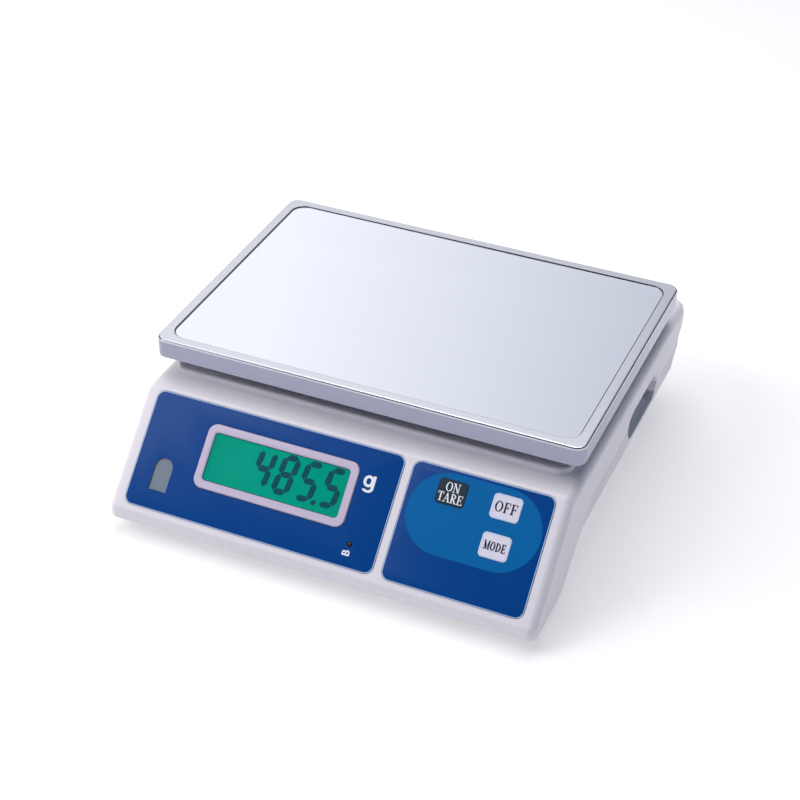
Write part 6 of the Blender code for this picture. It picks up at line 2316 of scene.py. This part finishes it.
# ---------------------------------------------------------------- what is inside
@dataclass
class Works:
    """Load cell, chassis, battery, boards, leads and the charger socket.

    Attributes:
        flexure: Radius of the load cell's two round flexures.
        flexure_place: Distance of each flexure from the cell's middle.
        bolt_bore: Radius of the bolt bores.
        bolt_place: Distance of the bolts from the cell's middle along it.
        bolt_spread: Distance of the bolts from the cell's middle across it.
    """

    flexure: float = 7.5 * MM
    flexure_place: float = 13 * MM
    bolt_bore: float = 3.3 * MM
    bolt_place: float = 50 * MM
    bolt_spread: float = 8 * MM

    def build(self) -> None:
        """Dress the hidden pieces and refine the ones with a fine form."""
        dress_nodes(MILLED, "load_cell_riser")
        dress_nodes(
            ZINC,
            "chassis_plate",
            "cell_screw_1",
            "cell_screw_2",
            "overload_stop",
            "stop_lock_nut",
            "battery_strap",
        )
        dress_nodes(BATTERY_CASE, "battery")
        dress_nodes(GREY_MOULDING, "inlet_retainer")
        dress_nodes(CABLE_SHEATH, "load_cell_cable")
        dress_nodes(LEAD_SHEATH, "battery_lead")
        self.boards()
        self.socket()
        self.load_cell()

    @staticmethod
    def boards() -> None:
        """Dress the three boards."""
        low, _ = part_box("main_board")
        green = (0.012, 0.13, 0.045)
        for name, level, nodes in (
            ("main_resist", low.z + 1.65 * MM, ("main_board",)),
            ("panel_resist", 0.2, ("display_board", "keypad_board")),
        ):
            dress_nodes(BoardFinish(name, green, 0.4, 0.0, "board_green", level), *nodes)

    @staticmethod
    def socket() -> None:
        """Make the charger socket with a rounded mouth and a pin."""
        low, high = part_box("charger_inlet")
        middle = (low + high) / 2
        length = high.x - low.x
        body = turned(
            (
                (0, 2 * MM),
                (3 * MM, 2 * MM),
                (3 * MM, length - 0.5 * MM),
                (3.5 * MM, length),
                (4.6 * MM, length),
                (5 * MM, length - 0.4 * MM),
                (5 * MM, length - 2.8 * MM),
                (6.4 * MM, length - 2.8 * MM),
                (6.4 * MM, length - 4.8 * MM),
                (5 * MM, length - 4.8 * MM),
                (5 * MM, 0.0),
                (0, 0.0),
            )
        )
        turn = Matrix.Rotation(-math.pi / 2, 4, "Y")
        spot = Matrix.Translation((high.x, middle.y, middle.z)) @ turn
        put_on(
            to_object("charger_socket", move(body, spot)), (DARK_MOULDING,), "housing", ("charger_inlet",)
        )
        pin = turned(
            (
                (0, length - MM),
                (0.5 * MM, length - MM),
                (0.9 * MM, length - 1.6 * MM),
                (0.9 * MM, 2.1 * MM),
                (0, 2.1 * MM),
            ),
            20,
        )
        put_on(to_object("charger_pin", move(pin, spot)), (ZINC,), "housing")

    def load_cell(self) -> None:
        """Make the load cell and its sealing strip, sliced across between the flexures; the real ones bend
        as the pan is loaded.
        """
        low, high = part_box("load_cell")
        middle = (low + high) / 2
        block = Plate(
            high.x - low.x, high.y - low.y, low.z, high.z, 0.6 * MM, 0.4 * MM, 0.4 * MM, segments=2
        )
        slot = Plate(2 * self.flexure_place, 2 * (high.y - low.y), middle.z - 1.5 * MM, middle.z + 1.5 * MM)
        cuts = [to_object("flexure_slot", slot.build((middle.x, middle.y)))]
        for sign in (-1, 1):
            flexure = move(
                bar(self.flexure, -high.y, high.y, segments=48), Matrix.Rotation(math.pi / 2, 4, "X")
            )
            spot = Matrix.Translation((middle.x + sign * self.flexure_place, middle.y, middle.z))
            cuts.append(to_object("flexure", move(flexure, spot)))
            for side in (-1, 1):
                at = (middle.x + sign * self.bolt_place, middle.y + side * self.bolt_spread)
                cuts.append(to_object("bolt_bore", bar(self.bolt_bore, low.z - MM, high.z + MM, at)))
        cell = combine(to_object("bending_cell", block.build((middle.x, middle.y))), cuts, Join.CUT)
        strip = Plate(
            34 * MM, high.y - low.y - 4 * MM, high.z + 0.02 * MM, high.z + 0.7 * MM, 3 * MM, 0.4 * MM
        )
        seal = to_object("gauge_seal", strip.build((middle.x, middle.y)))
        start = Vector((middle.x - self.flexure_place, middle.y, middle.z))
        end = Vector((middle.x + self.flexure_place, middle.y, middle.z))
        for piece in (cell, seal):
            self.slice_across(piece, start.x, end.x)
        put_on(cell, (MILLED,), "housing", ("load_cell",), 30.0, True, (start, end))
        put_on(seal, (CELL_LABEL,), "housing", bend=(start, end))

    @staticmethod
    def slice_across(piece: bpy.types.Object, first: float, last: float, steps: int = 8) -> None:
        """Cut a piece's faces by upright planes, so that it can bend smoothly along X.

        Args:
            piece: The piece that will bend.
            first: Place of the first plane.
            last: Place of the last plane.
            steps: Spaces between the planes.
        """
        bm = bmesh.new()
        bm.from_mesh(piece.data)
        for index in range(steps + 1):
            place = (first + (last - first) * index / steps, 0.0, 0.0)
            everything = [*bm.verts, *bm.edges, *bm.faces]
            bmesh.ops.bisect_plane(bm, geom=everything, plane_co=place, plane_no=(1.0, 0.0, 0.0))
        bm.to_mesh(piece.data)
        bm.free()


# ---------------------------------------------------------------- studio
@dataclass
class Studio:
    """Floor, light and camera.

    Attributes:
        eye: Place of the camera.
        azimuth: Turn of the view about the upright.
        elevation: How far down the view looks.
        roll: Lean of the view.
        lens: Focal length in millimetres on a 36 mm sensor.
    """

    eye: Triple = (0.3582, -0.85154, 0.70738)
    azimuth: float = math.radians(23.28)
    elevation: float = math.radians(35.78)
    roll: float = math.radians(0.615)
    lens: float = 79.39

    def build(self) -> None:
        """Make the studio."""
        self.floor()
        self.sky()
        self.lamp("key_light", (-1.3, -0.75, 1.55), 1.1, 19.5, (1.0, 0.965, 0.95))
        self.lamp("top_light", (-0.2, 0.35, 1.8), 1.3, 17.0, (1.0, 0.98, 0.98))
        self.camera()

    @staticmethod
    def floor() -> None:
        """Lay a pale floor."""
        bm = bmesh.new()
        bmesh.ops.create_grid(bm, x_segments=2, y_segments=2, size=6.0)
        floor = to_object("studio_floor", bm)
        floor.data.materials.append(PaleFloor("pale_floor", (0.72, 0.71, 0.7), 0.9).material())

    @staticmethod
    def sky() -> None:
        """Make a bright dome that is brightest behind the scale and greyer near the floor."""
        world = bpy.data.worlds.new("studio_dome")
        bpy.context.scene.world = world
        world.use_nodes = True
        tree = world.node_tree
        where = tree.nodes.new("ShaderNodeTexCoord")
        split = tree.nodes.new("ShaderNodeSeparateXYZ")
        feed(tree, where.outputs["Generated"], split.inputs["Vector"])
        upward = ramp(tree, split.outputs["Z"], (0.05, 0.5), (0.0, 1.0), smooth=True)
        behind = ramp(tree, split.outputs["Y"], (-0.1, 0.7), (0.12, 1.0), smooth=True)
        across = ramp(tree, split.outputs["X"], (-0.4, -0.05), (1.0, 0.25))
        level = math_node(tree, "MULTIPLY", math_node(tree, "MULTIPLY", upward, behind), across)
        mix = tree.nodes.new("ShaderNodeMix")
        mix.data_type = "RGBA"
        mix.inputs["A"].default_value = (0.14, 0.18, 0.25, 1.0)
        mix.inputs["B"].default_value = (1.1, 1.12, 1.18, 1.0)
        feed(tree, level, mix.inputs["Factor"])
        feed(tree, mix.outputs["Result"], tree.nodes["Background"].inputs["Color"])

    @staticmethod
    def lamp(name: str, place: Triple, size: float, power: float, colour: Triple) -> None:
        """Hang a soft square lamp that looks at the scale.

        Args:
            name: Name of the lamp.
            place: Where it hangs.
            size: Width of the lamp.
            power: Power in watts.
            colour: Colour of its light.
        """
        data = bpy.data.lights.new(name, "AREA")
        data.size = size
        data.energy = power
        data.color = colour
        lamp = bpy.data.objects.new(name, data)
        lamp.location = place
        lamp.rotation_euler = (Vector((0, 0, 0.05)) - Vector(place)).to_track_quat("-Z", "Y").to_euler()
        bpy.context.scene.collection.objects.link(lamp)

    def camera(self) -> None:
        """Set up the camera."""
        back = Vector(
            (
                math.sin(self.azimuth) * math.cos(self.elevation),
                -math.cos(self.azimuth) * math.cos(self.elevation),
                math.sin(self.elevation),
            )
        )
        right = Vector((math.cos(self.azimuth), math.sin(self.azimuth), 0.0))
        up = back.cross(right)
        lean_right = right * math.cos(self.roll) + up * math.sin(self.roll)
        lean_up = up * math.cos(self.roll) - right * math.sin(self.roll)
        data = bpy.data.cameras.new("studio_camera")
        data.sensor_width = 36.0
        data.lens = self.lens
        data.clip_end = 50.0
        camera = bpy.data.objects.new("studio_camera", data)
        axes = Matrix((lean_right, lean_up, back)).transposed().to_4x4()
        camera.matrix_world = Matrix.Translation(self.eye) @ axes
        bpy.context.scene.collection.objects.link(camera)
        bpy.context.scene.camera = camera


def main() -> None:
    """Build the whole scale and its studio."""
    logging.basicConfig(level=logging.INFO, format="%(name)s %(message)s")
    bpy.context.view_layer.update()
    bpy.context.scene.view_settings.view_transform = "Standard"
    panel = Panel()
    Studio().build()
    Housing(panel).build()
    WeighingPan().build()
    Display(panel).build()
    Keypad(panel).build()
    SpiritLevel(panel).build()
    for label in CORNERS:
        Foot(label).build()
        HousingScrew(label).build()
    Works().build()


if __name__ == "__main__":
    main()
